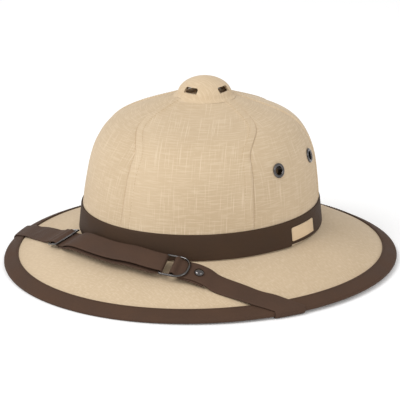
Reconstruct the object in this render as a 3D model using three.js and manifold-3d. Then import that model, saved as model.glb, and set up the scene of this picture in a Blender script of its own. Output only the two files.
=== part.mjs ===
// Pith helmet with a six-panel crown, sloping brim, band, vent cap and stowed chin strap.
// Millimetres, +Z up. The front is -Y, the wearer's left is +X, and the rim stands on z = 0.
import * as THREE from "three";
import { mergeVertices } from "three/addons/utils/BufferGeometryUtils.js";
import Module from "manifold-3d";

const wasm = await Module();
wasm.setup();

// Hat sizes
const hatLength = 345;
const hatWidth = 330;
const headLength = 213.6;
const headWidth = 197.6;
const brimRise = 28.4;
const brimThickness = 2;
const rimSideLift = 2.3;
const brimSlopePower = 1.13;
const clearance = 0.3;

// Crown sizes
const crownWall = 2.6;
const crownFootDepth = 4;
const crownTaper = 2.2;
const domeHeight = 95.8;
const domeWidening = 0.068;
const domeSetBack = 4.5;
const ventHoleRadius = 9;
const seamStripWidth = 7;
const seamStripHeight = 0.5;
const seamBevel = 1.2;

// Trim sizes
const bindingThickness = 1;
const bindingWidth = 10.8;
const bindingUnderWidth = 9.5;
const restLandDepth = 0.4;
const bandHeight = 22;
const bandThickness = 1.1;
const bandLapLength = 26;
const bandStep = 0.8;
const labelLength = 34;
const labelHeight = 11.5;
const labelThickness = 0.8;
const eyeletHoleRadius = 3.6;
const eyeletFlangeRadius = 6.1;
const eyeletFlangeThickness = 0.9;
const eyeletTubeWall = 0.7;
const eyeletHeight = 97.5;
const capRadius = 22.9;
const capRiseOverDome = 10.3;
const capWall = 2.2;
const capRounding = 1.05;
const capCollarHeight = 4.8;
const capOpeningWidth = 13;
const capOpeningHeight = 5.6;

// Strap and hardware sizes
const strapWidth = 20;
const strapThickness = 1.2;
const sliderLength = 17;
const sliderBarWidth = 2;
const sliderBarThickness = 1.4;
const buckleLength = 24;
const buckleCorner = 7;
const buckleTurn = 4;
const buckleShift = 0.6;
const hardwareSideGap = 0.6;
const buckleWire = 2.1;
const rivetHeadRadius = 4;
const rivetHeadHeight = 2.3;
const rivetShankRadius = 1.6;
const rivetFromBuckle = 23;
const foldPastRivet = 7;
const anchorHeight = 14;
const strapBow = 8;
const bowRise = { from: 16, to: 46 };
const bowFall = { from: 48, to: 18 };
const layerSpread = 1.8;
const lowerLayerShift = 1.2;

// Places round the hat, as degrees from the front towards the wearer's left
const bandJoinPolar = 92;
const capTurn = 7;
const eyeletPolars = { front: 86.6, back: 118.8 };
const sliderPolar = -30;
const bucklePolar = 33.4;
const restLandHalfAngle = 12;

// Each panel seam: where it starts at the band and how far it has turned at the top
const seams = [
  { polar: 4, drift: -33 },
  { polar: 70, drift: 34 },
  { polar: 130, drift: 14 },
  { polar: 184, drift: 2 },
  { polar: 230, drift: -8 },
  { polar: 294, drift: -17 },
];

// The dome's side: its radius as a share of the band's top edge, its height as a share of domeHeight
const domeProfile = [
  { radius: 1, height: 0 },
  { radius: 0.977, height: 0.172 },
  { radius: 0.93, height: 0.418 },
  { radius: 0.865, height: 0.582 },
  { radius: 0.77, height: 0.704 },
  { radius: 0.62, height: 0.789 },
  { radius: 0.35, height: 0.894 },
  { radius: 0.2, height: 0.952 },
  { radius: 0, height: 1 },
];

// The stowed strap's outer edge on the brim: share is 0 where the slider would touch the band, 1 at the rim
const strapRoute = [
  { polar: -50.1, share: 0.577 },
  { polar: -35.1, share: 0.174 },
  { polar: -30, share: 0.09 },
  { polar: -13.8, share: 0.004 },
  { polar: 4.8, share: -0.012 },
  { polar: 15.4, share: -0.012 },
  { polar: 25.2, share: 0.002 },
  { polar: 32, share: 0.051 },
  { polar: 41.2, share: 0.198 },
  { polar: 51.5, share: 0.494 },
  { polar: 57.3, share: 0.739 },
];

// Where the strap's outer and inner edges cross the rim and reach the anchor inside the crown
const strapTurns = {
  right: { rimOuter: -60, rimInner: -68.8, anchorOuter: -93, anchorInner: -107 },
  left: { rimOuter: 64.4, rimInner: 73.9, anchorOuter: 93, anchorInner: 107 },
};

const degree = Math.PI / 180;
const smooth = (from, to, value) => THREE.MathUtils.smoothstep(value, from, to);
const mix = THREE.MathUtils.lerp;

function ovalRadius(polar, halfLength, halfWidth) {
  const across = halfLength * Math.sin(polar);
  const along = halfWidth * Math.cos(polar);
  return (halfLength * halfWidth) / Math.hypot(across, along);
}

function place(polar, radius, height, setBack = 0) {
  return new THREE.Vector3(radius * Math.sin(polar), setBack - radius * Math.cos(polar), height);
}

// Moves a path of { radius, height } sideways, to the right of its direction
function offsetPath(path, distance) {
  return path.map((point, i) => {
    const before = path[Math.max(i - 1, 0)];
    const after = path[Math.min(i + 1, path.length - 1)];
    const run = after.radius - before.radius;
    const rise = after.height - before.height;
    const step = distance / Math.hypot(run, rise);
    return { ...point, radius: point.radius + rise * step, height: point.height - run * step };
  });
}

function meshData(rows, closeRows) {
  const columns = rows[0].length;
  const positions = rows.flat().flatMap((point) => point.toArray());
  const faces = [];
  const steps = closeRows ? rows.length : rows.length - 1;
  for (let row = 0; row < steps; row++) {
    for (let column = 0; column < columns; column++) {
      const next = (column + 1) % columns;
      const above = ((row + 1) % rows.length) * columns;
      const here = row * columns;
      faces.push(here + column, here + next, above + next);
      faces.push(here + column, above + next, above + column);
    }
  }
  return { positions, faces };
}

function geometryOf({ positions, faces }) {
  const geometry = new THREE.BufferGeometry();
  geometry.setAttribute("position", new THREE.Float32BufferAttribute(positions, 3));
  geometry.setIndex(faces);
  geometry.computeVertexNormals();
  return geometry;
}

// A closed section carried round the hat: every row is a ring of points
function ringSolid(rows) {
  return geometryOf(meshData(rows, true));
}

// A strip of even thickness: every station is a row of points from its outer to its inner edge
function stripSolid(stations, thickness) {
  const count = stations[0].length;
  const loops = stations.map((station, k) => {
    const before = stations[Math.max(k - 1, 0)];
    const after = stations[Math.min(k + 1, stations.length - 1)];
    const shifts = station.map((point, j) => {
      const along = after[j].clone().sub(before[j]);
      const across = station[Math.min(j + 1, count - 1)].clone().sub(station[Math.max(j - 1, 0)]);
      return along.cross(across).setLength(thickness / 2);
    });
    const top = station.map((point, j) => point.clone().add(shifts[j]));
    const bottom = station.map((point, j) => point.clone().sub(shifts[j]));
    return [...top, ...bottom.reverse()];
  });
  const size = 2 * count;
  const positions = loops.flat().flatMap((point) => point.toArray());
  const faces = [];
  for (let k = 0; k + 1 < loops.length; k++) {
    for (let i = 0; i < size; i++) {
      const next = (i + 1) % size;
      const here = k * size;
      const ahead = here + size;
      faces.push(here + i, ahead + i, ahead + next);
      faces.push(here + i, ahead + next, here + next);
    }
  }
  const last = (loops.length - 1) * size;
  for (let j = 0; j + 1 < count; j++) {
    const under = size - 1 - j;
    faces.push(j, j + 1, under - 1);
    faces.push(j, under - 1, under);
    faces.push(last + j, last + under - 1, last + j + 1);
    faces.push(last + j, last + under, last + under - 1);
  }
  return geometryOf({ positions, faces });
}

function solidOf(geometry, matrix = new THREE.Matrix4()) {
  const bare = geometry.clone();
  bare.deleteAttribute("normal");
  bare.deleteAttribute("uv");
  bare.applyMatrix4(matrix);
  const merged = mergeVertices(bare, 1e-4);
  return new wasm.Manifold(
    new wasm.Mesh({
      numProp: 3,
      vertProperties: new Float32Array(merged.attributes.position.array),
      triVerts: new Uint32Array(merged.index.array),
    }),
  );
}

function geometryFrom(solid) {
  const mesh = solid.getMesh();
  return geometryOf({ positions: [...mesh.vertProperties], faces: [...mesh.triVerts] });
}

// The brim's middle surface, and any layer at a distance from it
function brimMiddle(polar, share) {
  const rimInset = brimThickness / 2 + clearance + bindingThickness;
  const halfLength = mix(headLength / 2, hatLength / 2 - rimInset, share);
  const halfWidth = mix(headWidth / 2, hatWidth / 2 - rimInset, share);
  const rimMiddle = rimInset - restLandDepth;
  const land = Math.sin(restLandHalfAngle * degree) ** 2;
  const lift = (rimSideLift * Math.max(0, Math.sin(polar) ** 2 - land)) / (1 - land);
  const fall = Math.sign(share) * Math.abs(share) ** brimSlopePower;
  const height = rimMiddle + brimRise * (1 - fall) + lift * share ** 2;
  return { radius: ovalRadius(polar, halfLength, halfWidth), height, lift };
}

function brimLayer(polar, share, offset) {
  const step = 0.01;
  const here = brimMiddle(polar, share);
  const outward = brimMiddle(polar, share + step);
  const inward = brimMiddle(polar, Math.max(share - step, 0));
  const run = outward.radius - inward.radius;
  const rise = outward.height - inward.height;
  const scale = offset / Math.hypot(run, rise);
  return { radius: here.radius - rise * scale, height: here.height + run * scale };
}

function brimWidthAt(polar) {
  return brimMiddle(polar, 1).radius - brimMiddle(polar, 0).radius;
}

// How far a layer that lies on the hat is from the brim's middle, with the binding under it near the rim
function coverOffset(polar, share, width) {
  const start = 1 - width / brimWidthAt(polar);
  const raised = smooth(start - 0.2, start - 0.06, share);
  return brimThickness / 2 + raised * (clearance + bindingThickness);
}

function onBrim(polar, radius, side, extra) {
  const width = side > 0 ? bindingWidth : bindingUnderWidth;
  let low = -0.05;
  let high = 1;
  let found = brimLayer(polar, high, 0);
  for (let i = 0; i < 24; i++) {
    const share = (low + high) / 2;
    found = brimLayer(polar, share, side * (coverOffset(polar, share, width) + extra));
    if (found.radius < radius) low = share;
    else high = share;
  }
  return found.height;
}

// The crown's outer side: radius and height of the section at one place round the hat
const bandTop = brimRise + bindingThickness + clearance + brimThickness + bandHeight - restLandDepth / 2;
const junctionHeight = bandTop - bandHeight;
const crownFoot = junctionHeight - crownFootDepth;
const domeCurve = new THREE.SplineCurve(
  domeProfile.map((row) => new THREE.Vector2(row.radius, row.height)),
);

function crownOval(height) {
  const inset = (crownTaper * (height - junctionHeight)) / bandHeight;
  return { halfLength: headLength / 2 - inset, halfWidth: headWidth / 2 - inset };
}

function crownPoint(polar, share) {
  const top = crownOval(bandTop);
  const point = domeCurve.getPoint(share);
  const widening = 1 + domeWidening * point.y;
  const radius = ovalRadius(polar, top.halfLength * point.x, top.halfWidth * point.x * widening);
  return { radius, height: bandTop + domeHeight * point.y, setBack: domeSetBack * point.y };
}

function crownPath(polar, shares) {
  const below = [crownFoot, junctionHeight].map((height) => {
    const oval = crownOval(height);
    return { radius: ovalRadius(polar, oval.halfLength, oval.halfWidth), height, setBack: 0 };
  });
  return [...below, ...shares.map((share) => crownPoint(polar, share))];
}

function shareWhere(test) {
  let low = 0;
  let high = 0.999;
  for (let i = 0; i < 40; i++) {
    const share = (low + high) / 2;
    if (test(crownPoint(0, share))) low = share;
    else high = share;
  }
  return low;
}

const ventShare = shareWhere((point) => point.radius > ventHoleRadius);
const apexHeight = bandTop + domeHeight;
const capFootHeight = crownPoint(0, shareWhere((point) => point.radius > capRadius)).height;

// Columns of the crown: seams, their raised strips and the plain cloth between
const plainColumns = 4;
function crownColumns(radius, share) {
  const turned = smooth(0.38, 0.88, share);
  const fade = share > 0 ? smooth(capRadius + 3, capRadius + 12, radius) : 0;
  const columns = [];
  seams.forEach((seam, k) => {
    const next = seams[(k + 1) % seams.length];
    const from = seam.polar + seam.drift * turned;
    const to = next.polar + (k + 1 === seams.length ? 360 : 0) + next.drift * turned;
    const panel = (to - from) * degree;
    const strips = k % 2 === 0;
    const marks = strips ? [seamBevel, seamBevel + seamStripWidth, 2 * seamBevel + seamStripWidth] : [seamBevel];
    const angles = marks.map((mark) => Math.min(mark / radius, (panel * 0.3 * mark) / marks.at(-1)));
    const reliefs = strips ? [seamStripHeight, seamStripHeight, 0] : [0];
    columns.push({ polar: from * degree, relief: -seamStripHeight * 0.4 * fade });
    angles.forEach((angle, i) => columns.push({ polar: from * degree + angle, relief: reliefs[i] * fade }));
    const first = from * degree + angles.at(-1);
    const last = to * degree - angles.at(-1);
    for (let i = 1; i <= plainColumns; i++) {
      columns.push({ polar: mix(first, last, i / (plainColumns + 1)), relief: 0 });
    }
    angles.map((angle, i) => ({ polar: to * degree - angle, relief: reliefs[i] * fade })).reverse()
      .forEach((column) => columns.push(column));
  });
  return columns;
}

function makeCrownShell() {
  const outerShares = Array.from({ length: 13 }, (_, i) => (ventShare * i) / 12);
  const innerShares = outerShares.filter((_, i) => i < 7 || i % 2 === 0);
  const meanRadius = (share) => crownPoint(Math.PI / 4, share).radius;
  const ring = (shares, index, offset) => {
    const share = index < 2 ? 0 : shares[index - 2];
    return crownColumns(meanRadius(share), share).map((column) => {
      const path = crownPath(column.polar, shares);
      const point = offsetPath(path, offset + (offset < 0 ? 0 : column.relief))[index];
      return place(column.polar, point.radius, point.height, point.setBack);
    });
  };
  const outer = Array.from({ length: outerShares.length + 2 }, (_, i) => ring(outerShares, i, 0));
  const inner = Array.from({ length: innerShares.length + 2 }, (_, i) => ring(innerShares, i, -crownWall));
  inner[0].forEach((point) => point.setZ(crownFoot));
  return ringSolid([...outer, ...inner.reverse()]);
}

// A frame that stands on the crown at one height: its Z axis points straight out of the cloth
function crownFrame(polar, height) {
  const share = shareWhere((point) => point.height < height);
  const step = 0.01;
  const at = (turn, rise) => {
    const point = crownPoint(polar + turn, share + rise);
    return place(polar + turn, point.radius, point.height, point.setBack);
  };
  const up = at(0, step).sub(at(0, -step)).normalize();
  const round = at(step, 0).sub(at(-step, 0)).normalize();
  const out = round.clone().cross(up).normalize();
  return new THREE.Matrix4().makeBasis(round, out.clone().cross(round), out).setPosition(at(0, 0));
}

const lathe = (points, segments) =>
  new THREE.LatheGeometry(points.map(([radius, height]) => new THREE.Vector2(radius, height)), segments);

const standUp = new THREE.Matrix4().makeRotationX(Math.PI / 2);

function makeEyelet() {
  const tube = eyeletHoleRadius + eyeletTubeWall;
  const inside = -(crownWall + 4 * clearance);
  const profile = [
    [eyeletHoleRadius, inside - eyeletTubeWall],
    [tube + eyeletTubeWall, inside - eyeletTubeWall],
    [tube + eyeletTubeWall, inside],
    [tube, inside],
    [tube, clearance],
    [eyeletFlangeRadius, clearance],
    [mix(eyeletHoleRadius, eyeletFlangeRadius, 0.7), clearance + eyeletFlangeThickness],
    [eyeletHoleRadius, clearance + eyeletFlangeThickness * 0.6],
    [eyeletHoleRadius, inside - eyeletTubeWall],
  ];
  return lathe(profile, 12).applyMatrix4(standUp);
}

function makeEyeletDrill() {
  const radius = eyeletHoleRadius + eyeletTubeWall + clearance;
  return new THREE.CylinderGeometry(radius, radius, 6 * crownWall, 12).applyMatrix4(standUp);
}

const eyeletPlaces = [];
for (const [side, sign] of [["left", 1], ["right", -1]]) {
  for (const [end, polar] of Object.entries(eyeletPolars)) {
    const frame = crownFrame(sign * polar * degree, eyeletHeight);
    eyeletPlaces.push({ name: "eyelet_" + side + "_" + end, frame });
  }
}

function makeCrown() {
  let crown = solidOf(makeCrownShell());
  for (const { frame } of eyeletPlaces) crown = crown.subtract(solidOf(makeEyeletDrill(), frame));
  return geometryFrom(crown);
}

const rimColumns = 64;

function ringOf(columns, sectionAt) {
  const sections = Array.from({ length: columns }, (_, i) => {
    const polar = (2 * Math.PI * i) / columns;
    return sectionAt(polar).map((point) => place(polar, point.radius, point.height));
  });
  return ringSolid(sections[0].map((_, row) => sections.map((section) => section[row])));
}

// Points round the rim at a distance from the brim's middle edge, from the top over to the underside
function rimArc(polar, distance, steps) {
  const edge = brimMiddle(polar, 1);
  const top = brimLayer(polar, 1, 1);
  const start = Math.atan2(top.height - edge.height, top.radius - edge.radius);
  return Array.from({ length: steps + 1 }, (_, i) => {
    const angle = start - (Math.PI * i) / steps;
    const height = edge.height + distance * Math.sin(angle);
    const land = edge.lift + brimThickness / 2 + clearance + bindingThickness - distance;
    return { radius: edge.radius + distance * Math.cos(angle), height: Math.max(height, land) };
  });
}

function makeBrim() {
  const half = brimThickness / 2;
  const shares = [0.75, 0.45, 0.2, 0.01];
  return ringOf(rimColumns, (polar) => {
    const inner = ovalRadius(polar, crownOval(crownFoot).halfLength, crownOval(crownFoot).halfWidth) + clearance;
    const top = shares.map((share) => brimLayer(polar, share, half));
    const under = shares.map((share) => brimLayer(polar, share, -half)).reverse();
    top.at(-1).radius = inner;
    under[0].radius = inner;
    return [...rimArc(polar, half, 2).reverse(), ...top, ...under];
  });
}

function makeBinding() {
  const inside = brimThickness / 2 + clearance;
  const outside = inside + bindingThickness;
  const skin = (polar, offset, steps) => {
    const topShare = 1 - bindingWidth / brimWidthAt(polar);
    const underShare = 1 - bindingUnderWidth / brimWidthAt(polar);
    return [
      brimLayer(polar, topShare, offset),
      ...rimArc(polar, offset, steps),
      brimLayer(polar, underShare, -offset),
    ];
  };
  return ringOf(rimColumns, (polar) => [...skin(polar, outside, 4).reverse(), ...skin(polar, inside, 2)]);
}

function bandRadiusAt(polar, height) {
  const oval = crownOval(height);
  return ovalRadius(polar, oval.halfLength, oval.halfWidth) + clearance + bandThickness;
}

// The band's lapped end lies over its other end and stops at the join
function bandLap(polar) {
  const before = THREE.MathUtils.euclideanModulo(bandJoinPolar * degree - polar, 2 * Math.PI);
  return 1 - smooth(0, bandLapLength / (headWidth / 2), before);
}

function makeBand() {
  const join = bandJoinPolar * degree;
  const lapAngle = bandLapLength / (headWidth / 2);
  const columns = Array.from({ length: 60 }, (_, i) => (2 * Math.PI * i) / 60)
    .filter((polar) => Math.abs(polar - join) > 0.03);
  columns.push(join, join + 0.004);
  columns.sort((a, b) => a - b);
  const rings = columns.map((polar) => {
    const lap = bandLap(polar) * bandThickness;
    const past = THREE.MathUtils.euclideanModulo(polar - join, 2 * Math.PI);
    const raise = past > 0.003 ? bandStep * (1 - smooth(0, lapAngle, past)) : 0;
    const foot = junctionHeight + clearance + raise;
    const inner = (height) => bandRadiusAt(polar, height) - bandThickness;
    return [
      place(polar, inner(foot) + bandThickness + lap, foot),
      place(polar, inner(bandTop) + bandThickness + lap, bandTop),
      place(polar, inner(bandTop), bandTop),
      place(polar, inner(foot), foot),
    ];
  });
  return ringSolid(rings[0].map((_, row) => rings.map((ring) => ring[row])));
}

function makeLabel() {
  const gap = 1.5;
  const middle = junctionHeight + bandHeight * 0.45;
  const start = bandJoinPolar * degree + gap / (headWidth / 2);
  const steps = 8;
  const stations = Array.from({ length: steps + 1 }, (_, i) => {
    const polar = start + ((labelLength / (headWidth / 2)) * i) / steps;
    return [-0.5, 0.5].map((end) => {
      const height = middle + end * labelHeight;
      return place(polar, bandRadiusAt(polar, height) + clearance + labelThickness / 2, height);
    });
  });
  return stripSolid(stations, labelThickness);
}

function makeVentCap() {
  const top = apexHeight + capRiseOverDome - capFootHeight;
  const dome = (radius, height, foot, count) =>
    Array.from({ length: count + 1 }, (_, i) => {
      const angle = (Math.PI / 2) * (1 - i / count);
      return [radius * Math.cos(angle) ** capRounding, foot + (height - foot) * Math.sin(angle)];
    });
  const slope = (apexHeight - capFootHeight) / capRadius;
  const outer = dome(capRadius, top, 2 * clearance, 6);
  const inner = dome(capRadius - capWall, top - capWall, 2 * clearance + slope * capWall, 4);
  outer[0][0] = 0;
  inner[0][0] = 0;
  let cap = solidOf(lathe([...outer, ...inner.reverse()].reverse(), 24).applyMatrix4(standUp));
  const arch = new THREE.Shape();
  const half = capOpeningWidth / 2;
  const corner = capOpeningHeight * 0.4;
  const shoulder = capCollarHeight + capOpeningHeight - corner;
  arch.moveTo(-half, capCollarHeight);
  arch.lineTo(half, capCollarHeight);
  arch.lineTo(half, shoulder);
  arch.absarc(half - corner, shoulder, corner, 0, Math.PI / 2);
  arch.absarc(corner - half, shoulder, corner, Math.PI / 2, Math.PI);
  const bore = new THREE.ExtrudeGeometry(arch, { depth: 3 * capRadius, bevelEnabled: false, curveSegments: 3 });
  bore.translate(0, 0, -1.5 * capRadius);
  for (const turn of [capTurn, capTurn + 90]) {
    const spin = new THREE.Matrix4().makeRotationZ(turn * degree).multiply(standUp);
    cap = cap.subtract(solidOf(bore, spin));
  }
  return geometryFrom(cap).translate(0, domeSetBack, capFootHeight);
}

// The strap's route over the brim: frames every few millimetres, from the right run-in to the left one
const strapLift = clearance + strapThickness / 2;

function onHat(point, side = 1) {
  const polar = Math.atan2(point.x, -point.y);
  const height = onBrim(polar, Math.hypot(point.x, point.y), side, strapLift);
  return new THREE.Vector3(point.x, point.y, height);
}

const brimLean = Math.atan2(brimRise, (hatLength - headLength) / 2);
const sliderOverhang = hardwareSideGap + sliderBarWidth;

const routeCurve = new THREE.CatmullRomCurve3(
  strapRoute.map(({ polar, share }) => {
    const nearest = bandRadiusAt(polar * degree, junctionHeight) + (strapWidth + sliderOverhang) * Math.cos(brimLean);
    return place(polar * degree, mix(nearest, brimMiddle(polar * degree, 1).radius, share), 0);
  }),
);
const routeLength = routeCurve.getLength();

// The strap's inner edge: one strap's width up the brim, or up the band where that comes first
function innerEdge(outer, inward) {
  const reach = (run) => {
    const plan = outer.clone().addScaledVector(inward, run);
    const polar = Math.atan2(plan.x, -plan.y);
    const wall = bandRadiusAt(polar, junctionHeight) + bandThickness * bandLap(polar) + strapLift;
    if (Math.hypot(plan.x, plan.y) > wall) return { point: onHat(plan), free: true };
    const rise = Math.sqrt(Math.max(strapWidth ** 2 - run ** 2, 0));
    return { point: plan.setZ(outer.z + rise), free: false };
  };
  let low = 0;
  let high = strapWidth;
  for (let i = 0; i < 24; i++) {
    const run = (low + high) / 2;
    const { point, free } = reach(run);
    if (free && point.distanceTo(outer) < strapWidth) low = run;
    else high = run;
  }
  return reach(high).point;
}

// A frame on the route, raised by the bow that is given as a function of the distance
function routeFrame(distance, bow = () => 0) {
  const at = THREE.MathUtils.clamp(distance / routeLength, 0, 1);
  const tangent = routeCurve.getTangentAt(at);
  const outer = onHat(routeCurve.getPointAt(at));
  const inner = innerEdge(outer, new THREE.Vector3(-tangent.y, tangent.x, 0));
  const across = inner.clone().sub(outer).normalize();
  const ahead = onHat(routeCurve.getPointAt(Math.min(at + 0.01, 1)));
  const behind = onHat(routeCurve.getPointAt(Math.max(at - 0.01, 0)));
  const up = ahead.sub(behind).cross(across).normalize();
  const along = across.clone().cross(up);
  const centre = outer.clone().add(inner).multiplyScalar(0.5);
  centre.z += bow(distance);
  return new THREE.Matrix4().makeBasis(along, across, up).setPosition(centre);
}

function distanceAtPolar(polar) {
  let low = 0;
  let high = routeLength;
  for (let i = 0; i < 30; i++) {
    const middle = (low + high) / 2;
    const point = new THREE.Vector3().setFromMatrixPosition(routeFrame(middle));
    if (Math.atan2(point.x, -point.y) < polar * degree) low = middle;
    else high = middle;
  }
  return low;
}

const sliderAt = distanceAtPolar(sliderPolar);
const buckleAt = distanceAtPolar(bucklePolar);
const rivetAt = buckleAt + rivetFromBuckle;

// Between the slider and the buckle the strap spans freely and leans on the band
function bowAt(distance) {
  const rise = smooth(sliderAt - bowRise.from, sliderAt + bowRise.to, distance);
  const fall = smooth(buckleAt - bowFall.from, buckleAt + bowFall.to, distance);
  return strapBow * rise * (1 - fall);
}

const sliderFrame = routeFrame(sliderAt, bowAt);
const buckleFrame = routeFrame(buckleAt, bowAt)
  .multiply(new THREE.Matrix4().makeTranslation(0, -buckleShift, 0))
  .multiply(new THREE.Matrix4().makeRotationZ(buckleTurn * degree));

// A strap point: distance along the route, share across the width, height over a strap that lies flat.
// At the slider and the buckle the strap lies in their plane, and eases back to the route beyond them.
function strapPoint(distance, across, height = 0) {
  const point = new THREE.Vector3(0, across * strapWidth, height).applyMatrix4(routeFrame(distance, bowAt));
  for (const [at, frame, length] of [[sliderAt, sliderFrame, sliderLength], [buckleAt, buckleFrame, buckleLength]]) {
    const held = 1 - smooth(0.58 * length, 1.7 * length, Math.abs(distance - at));
    if (held > 0) point.lerp(new THREE.Vector3(distance - at, across * strapWidth, height).applyMatrix4(frame), held);
  }
  return point;
}

function strapFrame(distance) {
  const across = strapPoint(distance, 0.5).sub(strapPoint(distance, -0.5)).normalize();
  const up = strapPoint(distance + 2, 0).sub(strapPoint(distance - 2, 0)).cross(across).normalize();
  return new THREE.Matrix4().makeBasis(across.clone().cross(up), across, up).setPosition(strapPoint(distance, 0));
}

const acrossShares = [-0.5, 0, 0.5];
const strapRow = (distance, height, shift = 0) =>
  acrossShares.map((across) => strapPoint(distance, across - shift / strapWidth, height));

// Heights of layers and bars over the middle of a strap that lies flat
const layerStep = strapThickness + clearance;
const foldRadius = buckleWire / 2 + clearance + strapThickness / 2;
const buckleBarAt = buckleLength / 2 - buckleWire / 2;
const sliderBarAt = sliderLength / 2 - sliderBarWidth / 2;
const barRise = (sliderBarThickness + strapThickness) / 2 + 1.7 * clearance;
const sliderLeftHeight = (sliderBarThickness - strapThickness) / 2;
const sliderRightHeight = layerStep + barRise;
const sliderMiddleHeight = (sliderLeftHeight + sliderRightHeight) / 2;
const buckleLeftHeight = foldRadius;
const buckleRightHeight = layerStep + strapThickness / 2 + clearance + buckleWire / 2;
const buckleMiddleHeight = (buckleLeftHeight + buckleRightHeight) / 2;

// A smooth height profile through named stops of { at, height }
function heightAlong(stops, distance) {
  if (distance <= stops[0].at) return stops[0].height;
  for (let i = 0; i + 1 < stops.length; i++) {
    if (distance <= stops[i + 1].at) {
      return mix(stops[i].height, stops[i + 1].height, smooth(stops[i].at, stops[i + 1].at, distance));
    }
  }
  return stops.at(-1).height;
}

function rowsBetween(from, to, spacing, heightAt, shiftAt = () => 0) {
  const count = Math.max(2, Math.round(Math.abs(to - from) / spacing));
  return Array.from({ length: count + 1 }, (_, i) => {
    const distance = mix(from, to, i / count);
    return strapRow(distance, heightAt(distance), shiftAt(distance));
  });
}

// Half a turn round a bar, from the layer above it to the layer below it
function foldRows(barDistance, barHeight, facing, steps) {
  return Array.from({ length: steps - 1 }, (_, i) => {
    const angle = (Math.PI * (i + 1)) / steps;
    const distance = barDistance + facing * foldRadius * Math.sin(angle);
    return strapRow(distance, barHeight + foldRadius * Math.cos(angle));
  });
}

// From a flat strap on the brim to the rim, round it, back under the brim and up inside the crown
function turnRows(flatRow, turn) {
  const polarAt = (across, outer, inner) => mix(outer, inner, across + 0.5) * degree;
  const rimPolars = acrossShares.map((across) => polarAt(across, turn.rimOuter, turn.rimInner));
  const anchorPolars = acrossShares.map((across) => polarAt(across, turn.anchorOuter, turn.anchorInner));
  const cover = brimThickness / 2 + clearance + bindingThickness + strapLift;
  const arcs = rimPolars.map((polar) => rimArc(polar, cover, 8).map((p) => place(polar, p.radius, p.height)));
  const wrap = arcs[0].map((_, i) => arcs.map((arc) => arc[i]));
  const between = (from, to, side, steps) =>
    Array.from({ length: steps - 1 }, (_, i) =>
      from.map((point, j) => onHat(point.clone().lerp(to[j], (i + 1) / steps), side)));
  const inside = crownOval(crownFoot);
  const innerFoot = (polar) => ovalRadius(polar, inside.halfLength, inside.halfWidth) - crownWall;
  const bend = [-90, -135, -180].map((angle) => anchorPolars.map((polar) => {
    const reach = strapLift * (1.5 + 0.2 * Math.abs(Math.sin(2 * angle * degree)));
    const radius = innerFoot(polar) + reach * Math.cos(angle * degree);
    return place(polar, radius, crownFoot + reach * Math.sin(angle * degree));
  }));
  const beneath = anchorPolars.map((polar) =>
    place(polar, innerFoot(polar) + crownWall + strapThickness, crownFoot - 1.5 * strapLift));
  const rise = [0.35, 1].map((part) => anchorPolars.map((polar) => {
    const height = crownFoot + anchorHeight * part;
    const taper = inside.halfWidth - crownOval(height).halfWidth;
    return place(polar, innerFoot(polar) - taper - 1.5 * strapLift, height);
  }));
  return [
    ...between(flatRow, wrap[0], 1, 10),
    ...wrap,
    ...between(wrap.at(-1), beneath, -1, 10),
    beneath,
    ...bend,
    ...rise,
  ];
}

const routeStep = 6;
const sliderReach = sliderLength / 2 + 6;

function makeStrapRight() {
  const bar = buckleAt - buckleBarAt;
  const start = sliderAt - sliderReach - 3;
  const over = [
    { at: start, height: 0 },
    { at: sliderAt - sliderBarAt, height: sliderLeftHeight + barRise },
    { at: sliderAt, height: sliderMiddleHeight + barRise },
    { at: sliderAt + sliderBarAt, height: layerStep },
    { at: sliderAt + bowRise.to, height: layerStep + layerSpread },
    { at: buckleAt - buckleBarAt, height: buckleLeftHeight + foldRadius },
  ];
  const lowerShift = (distance) =>
    lowerLayerShift * (1 - smooth(bar - strapWidth / 2, bar, distance)) * smooth(sliderAt, start + bowRise.to, distance);
  const heightAt = (distance) => heightAlong(over, distance);
  const turn = turnRows(strapRow(0, 0), strapTurns.right).reverse();
  return stripSolid(
    [
      ...turn,
      ...rowsBetween(0, start, routeStep, heightAt).slice(0, -1),
      ...rowsBetween(start, sliderAt + sliderReach, 2.5, heightAt),
      ...rowsBetween(sliderAt + sliderReach, bar, routeStep, heightAt).slice(1),
      ...foldRows(bar, buckleLeftHeight, 1, 6),
      ...rowsBetween(bar, sliderAt, routeStep, () => 0, lowerShift),
    ],
    strapThickness,
  );
}

function makeStrapLeft() {
  const lower = [
    { at: buckleAt, height: buckleMiddleHeight - foldRadius },
    { at: buckleAt + buckleBarAt, height: 0 },
  ];
  const upper = [
    { at: buckleAt, height: buckleMiddleHeight + foldRadius },
    { at: buckleAt + buckleBarAt - buckleCorner + 1.5, height: layerStep },
    { at: rivetAt + foldPastRivet, height: layerStep },
    { at: rivetAt + foldPastRivet + 8, height: 0 },
  ];
  const foldEnd = rivetAt + foldPastRivet;
  const foldShift = (distance) => lowerLayerShift * smooth(buckleAt, rivetAt, distance);
  const lowerRows = rowsBetween(buckleAt, foldEnd, 4, (distance) => heightAlong(lower, distance), foldShift);
  const upperRows = rowsBetween(buckleAt, foldEnd + 8, 3, (distance) => heightAlong(upper, distance));
  const rest = rowsBetween(foldEnd + 8, routeLength, routeStep, () => 0);
  const turn = turnRows(strapRow(routeLength, 0), strapTurns.left);
  const rows = [
    ...lowerRows.reverse(),
    ...foldRows(buckleAt, buckleMiddleHeight, -1, 6).reverse(),
    ...upperRows,
    ...rest.slice(1),
    ...turn,
  ];
  const hole = new THREE.CylinderGeometry(
    rivetShankRadius + clearance,
    rivetShankRadius + clearance,
    8 * strapThickness,
    16,
  ).applyMatrix4(standUp);
  return geometryFrom(solidOf(stripSolid(rows, strapThickness)).subtract(solidOf(hole, strapFrame(rivetAt))));
}

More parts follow.
